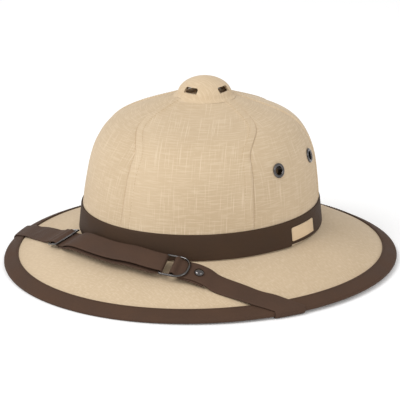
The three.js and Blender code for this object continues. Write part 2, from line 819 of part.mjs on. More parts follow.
// A frame of bars that leans from its left bar to its right bar
function leanFrame(frame, leftHeight, rightHeight, halfSpan) {
  const lean = Math.atan2(rightHeight - leftHeight, 2 * halfSpan);
  return frame
    .clone()
    .multiply(new THREE.Matrix4().makeTranslation(0, 0, (leftHeight + rightHeight) / 2))
    .multiply(new THREE.Matrix4().makeRotationY(-lean));
}

// A rectangle with rounded corners, as wide as asked round a centre, and other corners at its low end
function roundedOutline(target, centre, length, width, corner, lowCorner = corner) {
  const low = centre - length / 2 + lowCorner;
  const high = centre + length / 2 - corner;
  const side = width / 2;
  target.moveTo(high + corner, corner - side);
  target.lineTo(high + corner, side - corner);
  target.absarc(high, side - corner, corner, 0, Math.PI / 2);
  target.absarc(low, side - lowCorner, lowCorner, Math.PI / 2, Math.PI);
  target.absarc(low, lowCorner - side, lowCorner, Math.PI, 1.5 * Math.PI);
  target.absarc(high, corner - side, corner, 1.5 * Math.PI, 2 * Math.PI);
  return target;
}

function makeSlider() {
  const width = strapWidth + 2 * sliderOverhang;
  const outline = roundedOutline(new THREE.Shape(), 0, sliderLength, width, sliderBarWidth * 0.8);
  const slot = (sliderLength - 3 * sliderBarWidth) / 2;
  for (const side of [-1, 1]) {
    const centre = (side * (slot + sliderBarWidth)) / 2;
    outline.holes.push(roundedOutline(new THREE.Path(), centre, slot, width - 2 * sliderBarWidth, 0.4));
  }
  return new THREE.ExtrudeGeometry(outline, {
    depth: sliderBarThickness,
    bevelEnabled: false,
    curveSegments: 2,
  }).translate(0, 0, -sliderBarThickness / 2);
}

function makeBuckle() {
  const inset = buckleWire / 2;
  const width = strapWidth + 2 * hardwareSideGap + buckleWire;
  const path = new THREE.Path();
  const outline = roundedOutline(path, 0, buckleLength - buckleWire, width, buckleCorner, 1.2);
  const points = outline.getSpacedPoints(40).slice(0, -1).map((p) => new THREE.Vector3(p.x, p.y, 0));
  const wireCircle = (centre, out, sides) =>
    Array.from({ length: sides }, (_, i) => {
      const angle = (2 * Math.PI * i) / sides;
      return centre.clone().addScaledVector(out, inset * Math.cos(angle)).add(
        new THREE.Vector3(0, 0, inset * Math.sin(angle)));
    });
  const sides = 6;
  const rings = points.map((point, i) => {
    const after = points[(i + 1) % points.length];
    const before = points[(i + points.length - 1) % points.length];
    const along = after.clone().sub(before).normalize();
    return wireCircle(point, new THREE.Vector3(along.y, -along.x, 0), sides);
  });
  const frame = ringSolid(rings[0].map((_, row) => rings.map((ring) => ring[row])));
  const bar = new THREE.CylinderGeometry(inset, inset, width, sides);
  return geometryFrom(solidOf(frame).add(solidOf(bar)));
}

function makeRivet() {
  const foot = -layerStep - strapThickness / 2;
  const seat = strapThickness / 2 + clearance;
  const head = Array.from({ length: 5 }, (_, i) => {
    const angle = (Math.PI / 2) * (i / 4);
    return [rivetHeadRadius * Math.cos(angle), seat + rivetHeadHeight * Math.sin(angle)];
  });
  head[4][0] = 0;
  const profile = [[0, foot], [rivetShankRadius, foot], [rivetShankRadius, seat], ...head];
  return lathe(profile, 16).applyMatrix4(standUp);
}

const cloth = { color: 0xcdb48f, roughness: 0.95, metalness: 0 };
const leather = { color: 0x54402f, roughness: 0.8, metalness: 0 };
const tab = { color: 0xd9c29a, roughness: 0.9, metalness: 0 };
const metal = { color: 0x5a5552, roughness: 0.25, metalness: 1 };

const helmet = new THREE.Group();

function addPiece(name, geometry, finish, matrix = new THREE.Matrix4()) {
  const mesh = new THREE.Mesh(geometry, new THREE.MeshStandardMaterial(finish));
  mesh.name = name;
  mesh.applyMatrix4(matrix);
  helmet.add(mesh);
}

addPiece("crown", makeCrown(), cloth);
addPiece("brim", makeBrim(), cloth);
addPiece("brim_binding", makeBinding(), leather);
addPiece("hatband", makeBand(), leather);
addPiece("label", makeLabel(), tab);
for (const { name, frame } of eyeletPlaces) addPiece(name, makeEyelet(), metal, frame);
addPiece("vent_cap", makeVentCap(), cloth);
addPiece("strap_right", makeStrapRight(), leather);
addPiece("strap_left", makeStrapLeft(), leather);
addPiece("slider", makeSlider(), metal, leanFrame(sliderFrame, sliderLeftHeight, sliderRightHeight, sliderBarAt));
addPiece("buckle", makeBuckle(), metal, leanFrame(buckleFrame, buckleLeftHeight, buckleRightHeight, buckleBarAt));
const rivetFrame = strapFrame(rivetAt).multiply(new THREE.Matrix4().makeTranslation(0, 0, layerStep));
addPiece("rivet", makeRivet(), metal, rivetFrame);

export default helmet;
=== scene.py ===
# %% [markdown]
# A pith helmet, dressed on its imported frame
#
# This lesson builds a cloth-covered sun helmet round a model that already has every size.
# The frame is loaded first, each piece is then made in its place over the frame's own solid,
# and each gets a material with the thread, grain or polish that the real one shows.
# Lengths are worked out in millimetres, as a hat maker would, and turned into metres at the end.

# %% Load the frame
import math
from functools import lru_cache

import bpy
from mathutils import Matrix, Vector


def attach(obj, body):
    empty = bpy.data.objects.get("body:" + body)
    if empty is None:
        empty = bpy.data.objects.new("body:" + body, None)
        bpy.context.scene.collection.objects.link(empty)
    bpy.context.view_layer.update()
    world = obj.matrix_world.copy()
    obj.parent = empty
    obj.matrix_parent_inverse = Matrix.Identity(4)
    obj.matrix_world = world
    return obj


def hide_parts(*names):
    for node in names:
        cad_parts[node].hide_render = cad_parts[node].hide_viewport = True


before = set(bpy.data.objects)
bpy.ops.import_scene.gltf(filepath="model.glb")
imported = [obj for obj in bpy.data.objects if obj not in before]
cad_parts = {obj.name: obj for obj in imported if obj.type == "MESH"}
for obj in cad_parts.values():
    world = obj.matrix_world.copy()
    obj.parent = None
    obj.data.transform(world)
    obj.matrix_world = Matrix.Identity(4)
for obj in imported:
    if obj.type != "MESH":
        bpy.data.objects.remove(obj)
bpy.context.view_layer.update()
MM = 0.001

# %% [markdown]
# Camera
#
# The picture looks at the hat from its left front quarter, a little above, through a long lens.
# Long lenses flatten depth, so the camera stands more than two metres away.

# %% Camera
azimuth, elevation = math.radians(43.4), math.radians(17.87)
level_part = math.cos(elevation)
back = Vector((math.sin(azimuth) * level_part, -math.cos(azimuth) * level_part, math.sin(elevation)))
right = Vector((math.cos(azimuth), math.sin(azimuth), 0))
above = back.cross(right)
camera_distance, camera_left, camera_above, camera_lift = 2.279, 0.00086, 0.0433, Vector((0, 0, 0.0055))

camera_data = bpy.data.cameras.new("camera")
camera_data.lens = 238.5
camera_data.sensor_width = 36
camera = bpy.data.objects.new("camera", camera_data)
bpy.context.scene.collection.objects.link(camera)
camera.location = back * camera_distance - right * camera_left + above * camera_above + camera_lift
camera.rotation_mode = "QUATERNION"
camera.rotation_quaternion = (-back).to_track_quat("-Z", "Y")
bpy.context.scene.camera = camera
print("camera at", [round(v, 3) for v in camera.location])

# %% [markdown]
# Floor and light
#
# A shop picture of a hat is lit evenly: a pale surface, a bright surround and one large soft
# light from the upper left. The surround fills the shadows, and the softbox gives the metal
# something bright to reflect.

# %% Floor and light
bpy.ops.mesh.primitive_plane_add(size=12)
floor = bpy.context.object
floor.name = "floor"
floor_paint = bpy.data.materials.new("floor_paint")
floor_paint.use_nodes = True
floor_look = {"Base Color": (0.95, 0.95, 0.95, 1), "Roughness": 0.9}
floor_look.update({"Emission Color": (1, 1, 1, 1), "Emission Strength": 0.12})
for socket, value in floor_look.items():
    floor_paint.node_tree.nodes["Principled BSDF"].inputs[socket].default_value = value
floor.data.materials.append(floor_paint)

world = bpy.data.worlds.new("studio")
world.use_nodes = True
surround = world.node_tree.nodes["Background"].inputs
surround["Color"].default_value = (1, 1, 1, 1)
surround["Strength"].default_value = 0.72
bpy.context.scene.world = world
bpy.context.scene.view_settings.view_transform = "Standard"


def softbox(name, place, size, power):
    """A square light that faces the middle of the hat."""
    light = bpy.data.lights.new(name, "AREA")
    light.shape = "RECTANGLE"
    light.size = light.size_y = size
    light.energy = power
    lamp = bpy.data.objects.new(name, light)
    lamp.location = place
    lamp.rotation_mode = "QUATERNION"
    lamp.rotation_quaternion = (Vector((0, 0, 0.06)) - place).to_track_quat("-Z", "Y")
    bpy.context.scene.collection.objects.link(lamp)


softbox("key", back * 1.2 - right * 1.5 + Vector((0, 0, 1.7)), 1.3, 34)
softbox("fill", back * 1.6 + right * 1.6 + Vector((0, 0, 0.9)), 1.2, 9)

# %% [markdown]
# The hat's own measurements
#
# These are the sizes that the frame was cut to, in millimetres and degrees. Writing them again
# here lets each piece follow the same ovals and slopes, so cloth and leather land on what
# carries them. The strap, its hardware and the cap's foot and openings follow the picture more
# closely than the frame does, and lie up to five millimetres away from the frame's own.

# %% Measurements
hat_length, hat_width = 345, 330
head_length, head_width = 213.6, 197.6
brim_rise, brim_thickness, rim_side_lift, brim_power = 28.4, 2, 2.3, 1.13
clearance = 0.3
crown_wall, crown_foot_depth, crown_taper = 2.6, 4, 2.2
dome_height, dome_widening, dome_set_back, vent_hole = 95.8, 0.068, 4.5, 9
binding_thickness, binding_width, binding_under, rest_land = 1, 10.8, 9.5, 0.4
band_height, band_thickness, band_lap_length, band_step = 22, 1.1, 26, 0.8
label_length, label_height, label_thickness = 34, 11.5, 0.8
eyelet_hole, eyelet_flange, eyelet_flange_thickness, eyelet_tube, eyelet_height = 3.6, 6.1, 0.9, 0.7, 97.5
cap_radius, cap_rise, cap_wall, cap_rounding = 22.9, 10.3, 2.2, 1.05
cap_collar_height, cap_opening_width, cap_opening_height, cap_opening_corner = 4.8, 13, 4.7, 2.2
strap_width, strap_thickness = 20, 1.2
slider_length, slider_bar_width, slider_bar_thickness = 17, 2, 1.4
buckle_length, buckle_corner, buckle_low_corner, buckle_wire = 24, 9, 2.2, 2.1
buckle_turn, buckle_pitch, buckle_shift, buckle_lift = 1, 5, 0.6, 1.6
hardware_gap, slider_turn = 0.6, 5
rivet_radius, rivet_height, rivet_shank, rivet_from_buckle, fold_past_rivet = 4, 2.6, 1.6, 20, 6.5
anchor_height = 14
strap_bow, layer_spread, lower_layer_shift = 8, 1.8, 1.2
bow_rise, bow_fall = (20, 44), (44, 30)
band_join, cap_turn, slider_polar, buckle_polar, land_half_angle = 92, 7, -29, 33.4, 12
eyelet_polars = {"front": 86.6, "back": 118.8}
seams = [(4, -33), (70, 34), (130, 14), (184, 2), (230, -8), (294, -17)]
# Radius and height of the dome, as shares of the band's oval and of the dome's height
dome_profile = [
    (1, 0), (0.977, 0.172), (0.93, 0.418), (0.865, 0.582), (0.77, 0.704),
    (0.62, 0.789), (0.35, 0.894), (0.2, 0.952), (0, 1),
]
# Polar angle of the strap's outer edge, and its share of the way from band to rim
strap_route = [
    (-50.1, 0.577), (-35.1, 0.174), (-30, 0.09), (-13.8, 0.004), (4.8, -0.012), (15.4, -0.012),
    (25.2, 0.002), (32, 0.051), (41.2, 0.198), (51.5, 0.494), (57.3, 0.739),
]
# Where the strap's two edges cross the rim, and where they end inside the crown
strap_turns = {"right": (-60, -68.8, -93, -107), "left": (64.4, 73.9, 93, 107)}
# How far the cap's flared foot reaches past its radius, and at which height
cap_flare = [(0, 2.2), (0.25, 1.4), (0.95, 0.5), (2.2, -0.3), (3.6, -0.95), (3.7, -1.15)]
print("hat", hat_length, "by", hat_width, "mm, strap", strap_width, "by", strap_thickness, "mm")


# %% [markdown]
# Ovals, slopes and the dome
#
# A hat is oval, so a radius depends on where round the hat it is measured. The brim falls from
# the head oval to the rim, and the crown climbs through a few named sections joined smoothly.

# %% Ovals and slopes
def mix(a, b, part):
    return a + (b - a) * part


def smooth(start, end, value):
    part = min(max((value - start) / (end - start), 0), 1)
    return part * part * (3 - 2 * part)


def oval(polar, half_length, half_width):
    return half_length * half_width / math.hypot(half_length * math.sin(polar), half_width * math.cos(polar))


def place(polar, radius, height, set_back=0.0):
    return Vector((radius * math.sin(polar), set_back - radius * math.cos(polar), height))


def ring_of(polar, section):
    """A section's points of (radius, height), put in their place round the hat."""
    return [place(polar, radius, height) for radius, height in section]


def round_polars(count):
    return [2 * math.pi * i / count for i in range(count + 1)]


def standing(across, up):
    """The turn that brings the Y axis to across and the Z axis to up."""
    return Matrix((across.cross(up), across, up)).transposed().to_4x4()


def turn_about(axis, degrees):
    return Matrix.Rotation(math.radians(degrees), 4, axis)


def brim_middle(polar, share):
    inset = brim_thickness / 2 + clearance + binding_thickness
    half_length = mix(head_length / 2, hat_length / 2 - inset, share)
    half_width = mix(head_width / 2, hat_width / 2 - inset, share)
    land = math.sin(math.radians(land_half_angle)) ** 2
    lift = rim_side_lift * max(0.0, math.sin(polar) ** 2 - land) / (1 - land)
    fall = math.copysign(abs(share) ** brim_power, share)
    height = inset - rest_land + brim_rise * (1 - fall) + lift * share**2
    return oval(polar, half_length, half_width), height, lift


def brim_layer(polar, share, offset):
    radius, height, _ = brim_middle(polar, share)
    outward = brim_middle(polar, share + 0.01)
    inward = brim_middle(polar, max(share - 0.01, 0))
    run, rise = outward[0] - inward[0], outward[1] - inward[1]
    scale = offset / math.hypot(run, rise)
    return radius - rise * scale, height + run * scale


def brim_width_at(polar):
    return brim_middle(polar, 1)[0] - brim_middle(polar, 0)[0]


def rim_arc(polar, distance, steps):
    radius, height, lift = brim_middle(polar, 1)
    top = brim_layer(polar, 1, 1)
    start = math.atan2(top[1] - height, top[0] - radius)
    land = lift + brim_thickness / 2 + clearance + binding_thickness - distance
    arc = []
    for i in range(steps + 1):
        angle = start - math.pi * i / steps
        arc.append((radius + distance * math.cos(angle), max(height + distance * math.sin(angle), land)))
    return arc


band_top = brim_rise + binding_thickness + clearance + brim_thickness + band_height - rest_land / 2
junction = band_top - band_height
crown_foot = junction - crown_foot_depth
print("band from", round(junction, 2), "to", round(band_top, 2), "mm")


# %% The dome
def dome_point(share):
    last = len(dome_profile) - 1
    spot = share * last
    i = min(int(spot), last)
    t = spot - i
    near = [dome_profile[min(max(k, 0), last)] for k in range(i - 1, i + 3)]
    values = []
    for a, b, c, d in zip(*near):
        v0, v1 = (c - a) / 2, (d - b) / 2
        values.append((2 * b - 2 * c + v0 + v1) * t**3 + (-3 * b + 3 * c - 2 * v0 - v1) * t**2 + v0 * t + b)
    return values


def crown_oval(height):
    inset = crown_taper * (height - junction) / band_height
    return head_length / 2 - inset, head_width / 2 - inset


def crown_point(polar, share):
    half_length, half_width = crown_oval(band_top)
    radius, height = dome_point(share)
    radius = oval(polar, half_length * radius, half_width * radius * (1 + dome_widening * height))
    return radius, band_top + dome_height * height, dome_set_back * height


def share_where(test):
    low, high = 0.0, 0.999
    for _ in range(40):
        middle = (low + high) / 2
        low, high = (middle, high) if test(crown_point(0, middle)) else (low, middle)
    return low


vent_share = share_where(lambda point: point[0] > vent_hole)
apex = band_top + dome_height
cap_foot = crown_point(0, share_where(lambda point: point[0] > cap_radius))[1]
print("apex", round(apex, 1), "cap foot", round(cap_foot, 1), "mm")


# %% [markdown]
# Helpers for making meshes
#
# Most of the hat is cloth and leather laid along curves. A grid primitive has rows and columns
# like woven cloth, so each such piece starts as a grid whose points are then put where the
# pattern says, and the same rows give it a UV map measured in metres.

# %% Mesh helpers
def deselect():
    if bpy.context.object and bpy.context.object.mode != "OBJECT":
        bpy.ops.object.mode_set(mode="OBJECT")
    bpy.ops.object.select_all(action="DESELECT")


def choose(obj):
    deselect()
    bpy.context.view_layer.objects.active = obj
    obj.select_set(True)


def finish_mesh(obj, angle=35, weld=1e-6, turn_out=True):
    """Closes seams and poles, turns the faces out and smooths the shading."""
    choose(obj)
    bpy.ops.object.mode_set(mode="EDIT")
    bpy.ops.mesh.select_all(action="SELECT")
    bpy.ops.mesh.remove_doubles(threshold=weld)
    if turn_out:
        bpy.ops.mesh.normals_make_consistent(inside=False)
    bpy.ops.object.mode_set(mode="OBJECT")
    bpy.ops.object.shade_smooth_by_angle(angle=math.radians(angle))
    return obj


def laid_grid(name, rows, chart=None, angle=35):
    """A grid primitive with its points put in place: rows of points in mm, chart of (u, v) in mm."""
    across, along = len(rows[0]), len(rows)
    deselect()
    bpy.ops.mesh.primitive_grid_add(x_subdivisions=across - 1, y_subdivisions=along - 1, size=2)
    obj = bpy.context.object
    obj.name = obj.data.name = name
    cells = []
    for vertex in obj.data.vertices:
        column = round((vertex.co.x + 1) / 2 * (across - 1))
        row = round((vertex.co.y + 1) / 2 * (along - 1))
        cells.append((row, column))
    for vertex, (row, column) in zip(obj.data.vertices, cells):
        vertex.co = rows[row][column] * MM
    layer = obj.data.uv_layers[0]
    for loop in obj.data.loops:
        row, column = cells[loop.vertex_index]
        u, v = chart[row][column] if chart else (column, row)
        layer.data[loop.index].uv = (u * MM, v * MM)
    return finish_mesh(obj, angle)


def turned(name, profile, steps, angle=35):
    """A profile of (radius, height) in mm, extruded point by point and spun round the Z axis."""
    deselect()
    bpy.ops.mesh.primitive_plane_add(size=0.001)
    obj = bpy.context.object
    obj.name = obj.data.name = name
    bpy.ops.object.mode_set(mode="EDIT")
    bpy.ops.mesh.select_mode(type="VERT")
    bpy.ops.mesh.select_all(action="SELECT")
    bpy.ops.mesh.merge(type="CENTER")
    points = [Vector((radius, 0, height)) * MM for radius, height in profile]
    bpy.ops.transform.translate(value=points[0])
    for before, after in zip(points, points[1:]):
        bpy.ops.mesh.extrude_vertices_move(TRANSFORM_OT_translate={"value": after - before})
    bpy.ops.mesh.select_all(action="SELECT")
    bpy.ops.mesh.spin(steps=steps, angle=2 * math.pi, center=(0, 0, 0), axis=(0, 0, 1))
    bpy.ops.object.mode_set(mode="OBJECT")
    return finish_mesh(obj, angle)


def select_edges(obj, test):
    """Enters edit mode with only the edges selected whose two ends pass the test."""
    choose(obj)
    points = obj.data.vertices
    for item in (*points, *obj.data.edges, *obj.data.polygons):
        item.select = False
    for edge in obj.data.edges:
        edge.select = test(*(points[i].co for i in edge.vertices))
    bpy.ops.object.mode_set(mode="EDIT")
    bpy.ops.mesh.select_mode(type="EDGE")


def apply_modifier(obj, kind, **settings):
    choose(obj)
    modifier = obj.modifiers.new(kind.lower(), kind)
    for key, value in settings.items():
        setattr(modifier, key, value)
    bpy.ops.object.modifier_apply(modifier=modifier.name)


def cut_away(obj, tool):
    apply_modifier(obj, "BOOLEAN", operation="DIFFERENCE", solver="EXACT", object=tool)
    bpy.data.objects.remove(tool)


def pole_of(ring):
    """The centre of a closed ring, once for each of its points, which closes an open end."""
    return [sum(ring[:-1], Vector()) / (len(ring) - 1)] * len(ring)


def settle(obj, node, slot, *materials):
    """Gives a piece its materials and its body, and hides the frame's part that it stands for."""
    obj.data.materials.clear()
    for material in materials:
        obj.data.materials.append(material)
    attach(obj, "root")
    if node:
        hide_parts(node)
    print(obj.name, "faces", len(obj.data.polygons))


# %% [markdown]
# Writing shader maths as Python
#
# A thread pattern is arithmetic on coordinates. Wrapping a socket in a small class lets an
# expression such as 1 - mask * 0.3 add its own Math nodes, which keeps a weave readable.

# %% Sockets as numbers
class Signal:
    def __init__(self, finish, socket):
        self.finish, self.socket = finish, socket

    def maths(self, operation, *values):
        return self.finish.add("ShaderNodeMath", {"operation": operation}, values)

    def __add__(self, other):
        return self.maths("ADD", self, other)

    def __sub__(self, other):
        return self.maths("SUBTRACT", self, other)

    def __rsub__(self, other):
        return self.maths("SUBTRACT", other, self)

    def __mul__(self, other):
        return self.maths("MULTIPLY", self, other)

    __radd__, __rmul__ = __add__, __mul__

    def sine(self):
        return self.maths("SINE", self)

    def size(self):
        return self.maths("ABSOLUTE", self)

    def larger(self, other):
        return self.maths("MAXIMUM", self, other)

    def ramp(self, start, end, low=0.0, high=1.0):
        settings = {"interpolation_type": "SMOOTHSTEP"}
        values = {"Value": self, "From Min": start, "From Max": end, "To Min": low, "To Max": high}
        return self.finish.add("ShaderNodeMapRange", settings, values)


class Finish:
    """A material and the nodes that are added to it."""

    def __init__(self, name):
        self.material = bpy.data.materials.new(name)
        self.material.use_nodes = True
        self.tree = self.material.node_tree
        self.shader = self.tree.nodes["Principled BSDF"]

    def add(self, kind, settings, values, output=0):
        node = self.tree.nodes.new(kind)
        for key, value in settings.items():
            setattr(node, key, value)
        pairs = values.items() if isinstance(values, dict) else enumerate(values)
        for key, value in pairs:
            if isinstance(value, Signal):
                self.tree.links.new(value.socket, node.inputs[key])
            else:
                node.inputs[key].default_value = value
        return Signal(self, node.outputs[output])

    def coordinates(self, kind="Object"):
        return self.add("ShaderNodeTexCoord", {}, {}, kind)

    def parts(self, vector):
        node = self.tree.nodes.new("ShaderNodeSeparateXYZ")
        self.tree.links.new(vector.socket, node.inputs[0])
        return [Signal(self, output) for output in node.outputs]

    def together(self, x, y, z=0.0):
        return self.add("ShaderNodeCombineXYZ", {}, [x, y, z])

    def noise(self, vector, scale, detail=2.0, roughness=0.5):
        values = {"Vector": vector, "Scale": scale, "Detail": detail, "Roughness": roughness}
        return self.add("ShaderNodeTexNoise", {}, values, "Fac")

    def blend(self, part, first, second):
        values = {"Factor": part}
        node = self.add("ShaderNodeMix", {"data_type": "RGBA"}, values, 2)
        for spot, colour in ((6, first), (7, second)):
            if isinstance(colour, Signal):
                self.tree.links.new(colour.socket, node.socket.node.inputs[spot])
            else:
                node.socket.node.inputs[spot].default_value = (*colour, 1)
        return node

    def bump(self, height, distance, strength=1.0):
        return self.add("ShaderNodeBump", {}, {"Height": height, "Distance": distance, "Strength": strength})

    def feed(self, **values):
        for key, value in values.items():
            socket = self.shader.inputs[key.replace("_", " ")]
            if isinstance(value, Signal):
                self.tree.links.new(value.socket, socket)
            else:
                socket.default_value = value
        return self.material


# %% [markdown]
# Cloth
#
# The cover is a plain-woven khaki cotton. Its threads are half a millimetre wide, crossed by
# narrow, paler slubs that run up the panel and by fine ribs that run across it. The threads
# are made as height for the bump, and the slubs also lighten the colour. The low gaps between
# the threads get painted shade.

# %% Cloth
thread_pitch, thread_relief = 0.0011, 0.00018
khaki = {"deep": (0.505, 0.377, 0.237), "plain": (0.612, 0.474, 0.317), "pale": (0.748, 0.610, 0.440)}


def shade(colour, part):
    return tuple(part * channel for channel in colour)


def cloth_finish(name, kind, tone=1.0, slubs=1.0, run=1.0):
    """tone: brightness, slubs: how many show, run: how long slubs and ribs are."""
    finish = Finish(name)
    u, v, _ = finish.parts(finish.coordinates(kind))
    wander = finish.noise(finish.together(u * 60, v * 60), 1.0, 2) - 0.5
    thread = 2 * math.pi / thread_pitch
    warp = (u * thread + wander * 2.5).sine()
    weft = (v * thread + wander * 2.5).sine()
    weave = warp.size().larger(weft.size()) * 0.5 + warp * weft * 0.25 + 0.25
    upright = finish.noise(finish.together(u * 1100, v * (30 / run)), 1.0, 1, 0.5).ramp(0.56, 0.74)
    level = finish.noise(finish.together(u * (75 / run), v * 900, 4.0), 1.0, 1, 0.5).ramp(0.44, 0.70)
    flecks = finish.noise(finish.together(u * 700, v * 700, 8.0), 1.0, 2, 0.6).ramp(0.60, 0.80)
    cloudy = finish.noise(finish.together(u * 9, v * 9, 2.0), 1.0, 3, 0.5)
    deep, plain, pale = (shade(colour, tone) for colour in khaki.values())
    ground = finish.blend(cloudy.ramp(0.3, 0.7, 0.25, 0.95), deep, plain)
    ribbed = finish.blend(level * 0.36, ground, pale)
    slubbed = finish.blend(upright * 0.62 * slubs, ribbed, pale)
    flecked = finish.blend(flecks * 0.42, slubbed, pale)
    # Painted shade: the low gaps between the threads are darkened towards the deep khaki.
    weave_painted_shade = finish.blend((1 - weave) * 0.35, flecked, deep)
    height = weave * 0.5 + upright * 0.35 * slubs + level * 0.25
    finish.feed(Base_Color=weave_painted_shade, Roughness=0.93, Normal=finish.bump(height, thread_relief, 0.9))
    finish.feed(Specular_IOR_Level=0.25, Sheen_Weight=0.12, Sheen_Roughness=0.5)
    return finish.material


crown_cloth = cloth_finish("khaki_crown_cloth", "UV")
brim_cloth = cloth_finish("khaki_brim_cloth", "Object", slubs=0.5, run=0.3)
cap_cloth = cloth_finish("khaki_cap_cloth", "UV", tone=1.08, slubs=0.3, run=0.5)
lining_cloth = cloth_finish("lining_cloth", "UV", tone=0.92, slubs=0.1)
print("cloths", crown_cloth.name, brim_cloth.name)


# %% [markdown]
# Leather and metal
#
# The trim is thin matte leather: a pebbled grain, small changes of colour, and a little paler
# on the raised grain, like rubbed leather. The hardware is dark polished nickel, smooth with faint rubbing.

# %% Leather and metal
def leather_finish(name, colour, rub=0.25):
    finish = Finish(name)
    spot = finish.coordinates("Object")
    grain = finish.noise(spot, 1400, 3, 0.6)
    pores = finish.noise(spot, 3800, 1, 0.5).ramp(0.58, 0.7)
    cloudy = finish.noise(spot, 34, 3, 0.55)
    ground = finish.blend(cloudy.ramp(0.3, 0.7), shade(colour, 0.9), shade(colour, 1.1))
    grained = finish.blend(grain.ramp(0.35, 0.65) * rub, ground, shade(colour, 1.35))
    toned = finish.blend(pores * 0.5, grained, shade(colour, 0.72))
    normal = finish.bump(grain * 0.7 + (1 - pores) * 0.3, 0.00012, 0.7)
    finish.feed(Base_Color=toned, Roughness=cloudy.ramp(0.3, 0.7, 0.68, 0.82), Normal=normal)
    finish.feed(Specular_IOR_Level=0.22)
    return finish.material


def metal_finish(name, colour):
    finish = Finish(name)
    rubbed = finish.noise(finish.coordinates("Object"), 900, 4, 0.6)
    cloudy = finish.noise(finish.coordinates("Object"), 160, 2, 0.5)
    tone = finish.blend(cloudy, shade(colour, 0.8), shade(colour, 1.2))
    finish.feed(Base_Color=tone, Metallic=1.0, Roughness=rubbed.ramp(0.3, 0.75, 0.10, 0.22))
    finish.feed(Normal=finish.bump(rubbed, 0.00002, 0.3))
    return finish.material


binding_leather = leather_finish("brown_binding_leather", (0.070, 0.037, 0.022))
band_leather = leather_finish("brown_band_leather", (0.052, 0.028, 0.015))
strap_leather = leather_finish("brown_strap_leather", (0.070, 0.038, 0.024))
tab_leather = leather_finish("pale_tab_leather", (0.64, 0.48, 0.31), 0.15)
nickel = metal_finish("dark_nickel", (0.12, 0.112, 0.11))
sewing_thread = leather_finish("khaki_thread", (0.50, 0.37, 0.22), 0.1)
brown_thread = leather_finish("brown_thread", (0.075, 0.045, 0.028), 0.1)
print("materials", len(bpy.data.materials))


# %% [markdown]
# Crown
#
# Six cloth panels meet in seams that run up the dome and swing towards the vent at the top.
# Beside each seam the cloth of one panel is folded under, which shows as a raised strip.
# Each panel here has its own columns and its own chart of the cloth, so the weave stops at the
# seam as cut cloth does.

# %% Crown surface
seam_height, middle_columns, below_band, panel_chart, lining_chart, crown_rows = 0.8, 12, 130, 370, 400, 44
# Distance from the seam in mm, and the height there as a share of the seam height
strip_marks = [(0, -0.5), (0.4, 0.3), (1.1, 1), (3, 1), (6.2, 1), (7.9, 0.85), (8.8, 0.2), (10.5, 0)]
plain_marks = [(0, -0.5), (0.4, -0.1), (1.1, 0), (3, 0)]


def panel_columns(k, radius, share):
    turned_by = smooth(0.38, 0.88, share)
    start = math.radians(seams[k][0] + seams[k][1] * turned_by)
    following = seams[(k + 1) % 6]
    end = math.radians(following[0] + (360 if k == 5 else 0) + following[1] * turned_by)
    marks = strip_marks if k % 2 == 0 else plain_marks
    fade = smooth(cap_radius - 2, cap_radius + 3, radius) if share > 0 else 0
    limit = (end - start) * 0.36
    angles = [min(mark / radius, limit * mark / marks[-1][0]) for mark, _ in marks]
    low = mix(0.25, 1, smooth(0.3, 0.62, share))
    reliefs = [relief * fade * (low if i > 3 else 1) for i, (_, relief) in enumerate(marks)]
    parts = [i / (middle_columns + 1) for i in range(1, middle_columns + 1)]
    middle = [(mix(angles[-1], end - start - angles[-1], part), 0.0) for part in parts]
    rest = [(end - start - angle, relief) for angle, relief in zip(angles, reliefs)]
    columns = list(zip(angles, reliefs)) + middle + rest[::-1]
    half_panel = (end - start) / 2
    return [(start + angle, relief * seam_height, (angle - half_panel) * radius) for angle, relief in columns]


def crown_ring(share, offset):
    """One ring of the crown: its points, and how far each is across its panel."""
    points, chart = [], []
    radius_here = crown_point(math.pi / 4, max(share, 0))[0]
    for k in range(6):
        for polar, relief, u in panel_columns(k, radius_here, max(share, 0)):
            path = [crown_section(polar, share + step) for step in (-0.012, 0, 0.012)]
            run, rise = path[2][0] - path[0][0], path[2][1] - path[0][1]
            step = (offset + (relief if offset == 0 else 0)) / math.hypot(run, rise)
            radius, height, set_back = path[1]
            points.append(place(polar, radius + rise * step, height - run * step, set_back))
            chart.append(u + k * panel_chart)
    return points, chart


def crown_section(polar, share):
    """Radius, height and set-back of the outer side; a share below 0 runs down behind the band."""
    if share >= 0:
        return crown_point(polar, min(share, 0.999))
    height = band_top + share * below_band
    return oval(polar, *crown_oval(height)), height, 0.0


def crown_distance(share):
    if share < 0:
        return band_top + share * below_band
    total, steps = 0.0, 40
    before = crown_point(math.pi / 2, 0)
    for i in range(1, steps + 1):
        here = crown_point(math.pi / 2, share * i / steps)
        total += math.hypot(here[0] - before[0], here[1] - before[1])
        before = here
    return band_top + total


foot_share = (crown_foot - band_top) / below_band
outer_shares = [foot_share, foot_share * 0.5, -0.004]
outer_shares += [vent_share * i / crown_rows for i in range(crown_rows + 1)]
inner_shares = outer_shares[:3] + outer_shares[3::2]
rows, chart = [], []
for share in outer_shares:
    points, marks = crown_ring(share, 0)
    rows.append(points)
    chart.append([(u, crown_distance(share)) for u in marks])
outer_rings = list(rows)
for share in reversed(inner_shares):
    points, marks = crown_ring(share, -crown_wall)
    if share == foot_share:
        points = [Vector((p.x, p.y, crown_foot)) for p in points]
    rows.append(points)
    chart.append([(u, crown_distance(share) + lining_chart) for u in marks])
rows.append(rows[0])
chart.append(chart[0])
crown = laid_grid("crown_cover", rows, chart, 40)


# %% [markdown]
# Eyelets
#
# Four metal eyelets let air through the crown. The real ones are pressed rings with a rolled
# flange, so one profile is spun, and the crown is drilled where each one sits.

# %% Eyelets
def crown_frame(polar, height):
    share = share_where(lambda point: point[1] < height)

    def at(turn, rise):
        return place(polar + turn, *crown_point(polar + turn, share + rise))

    up = (at(0, 0.01) - at(0, -0.01)).normalized()
    around = (at(0.01, 0) - at(-0.01, 0)).normalized()
    out = around.cross(up).normalized()
    basis = Matrix((around, out.cross(around), out)).transposed().to_4x4()
    return Matrix.Translation(at(0, 0) * MM) @ basis


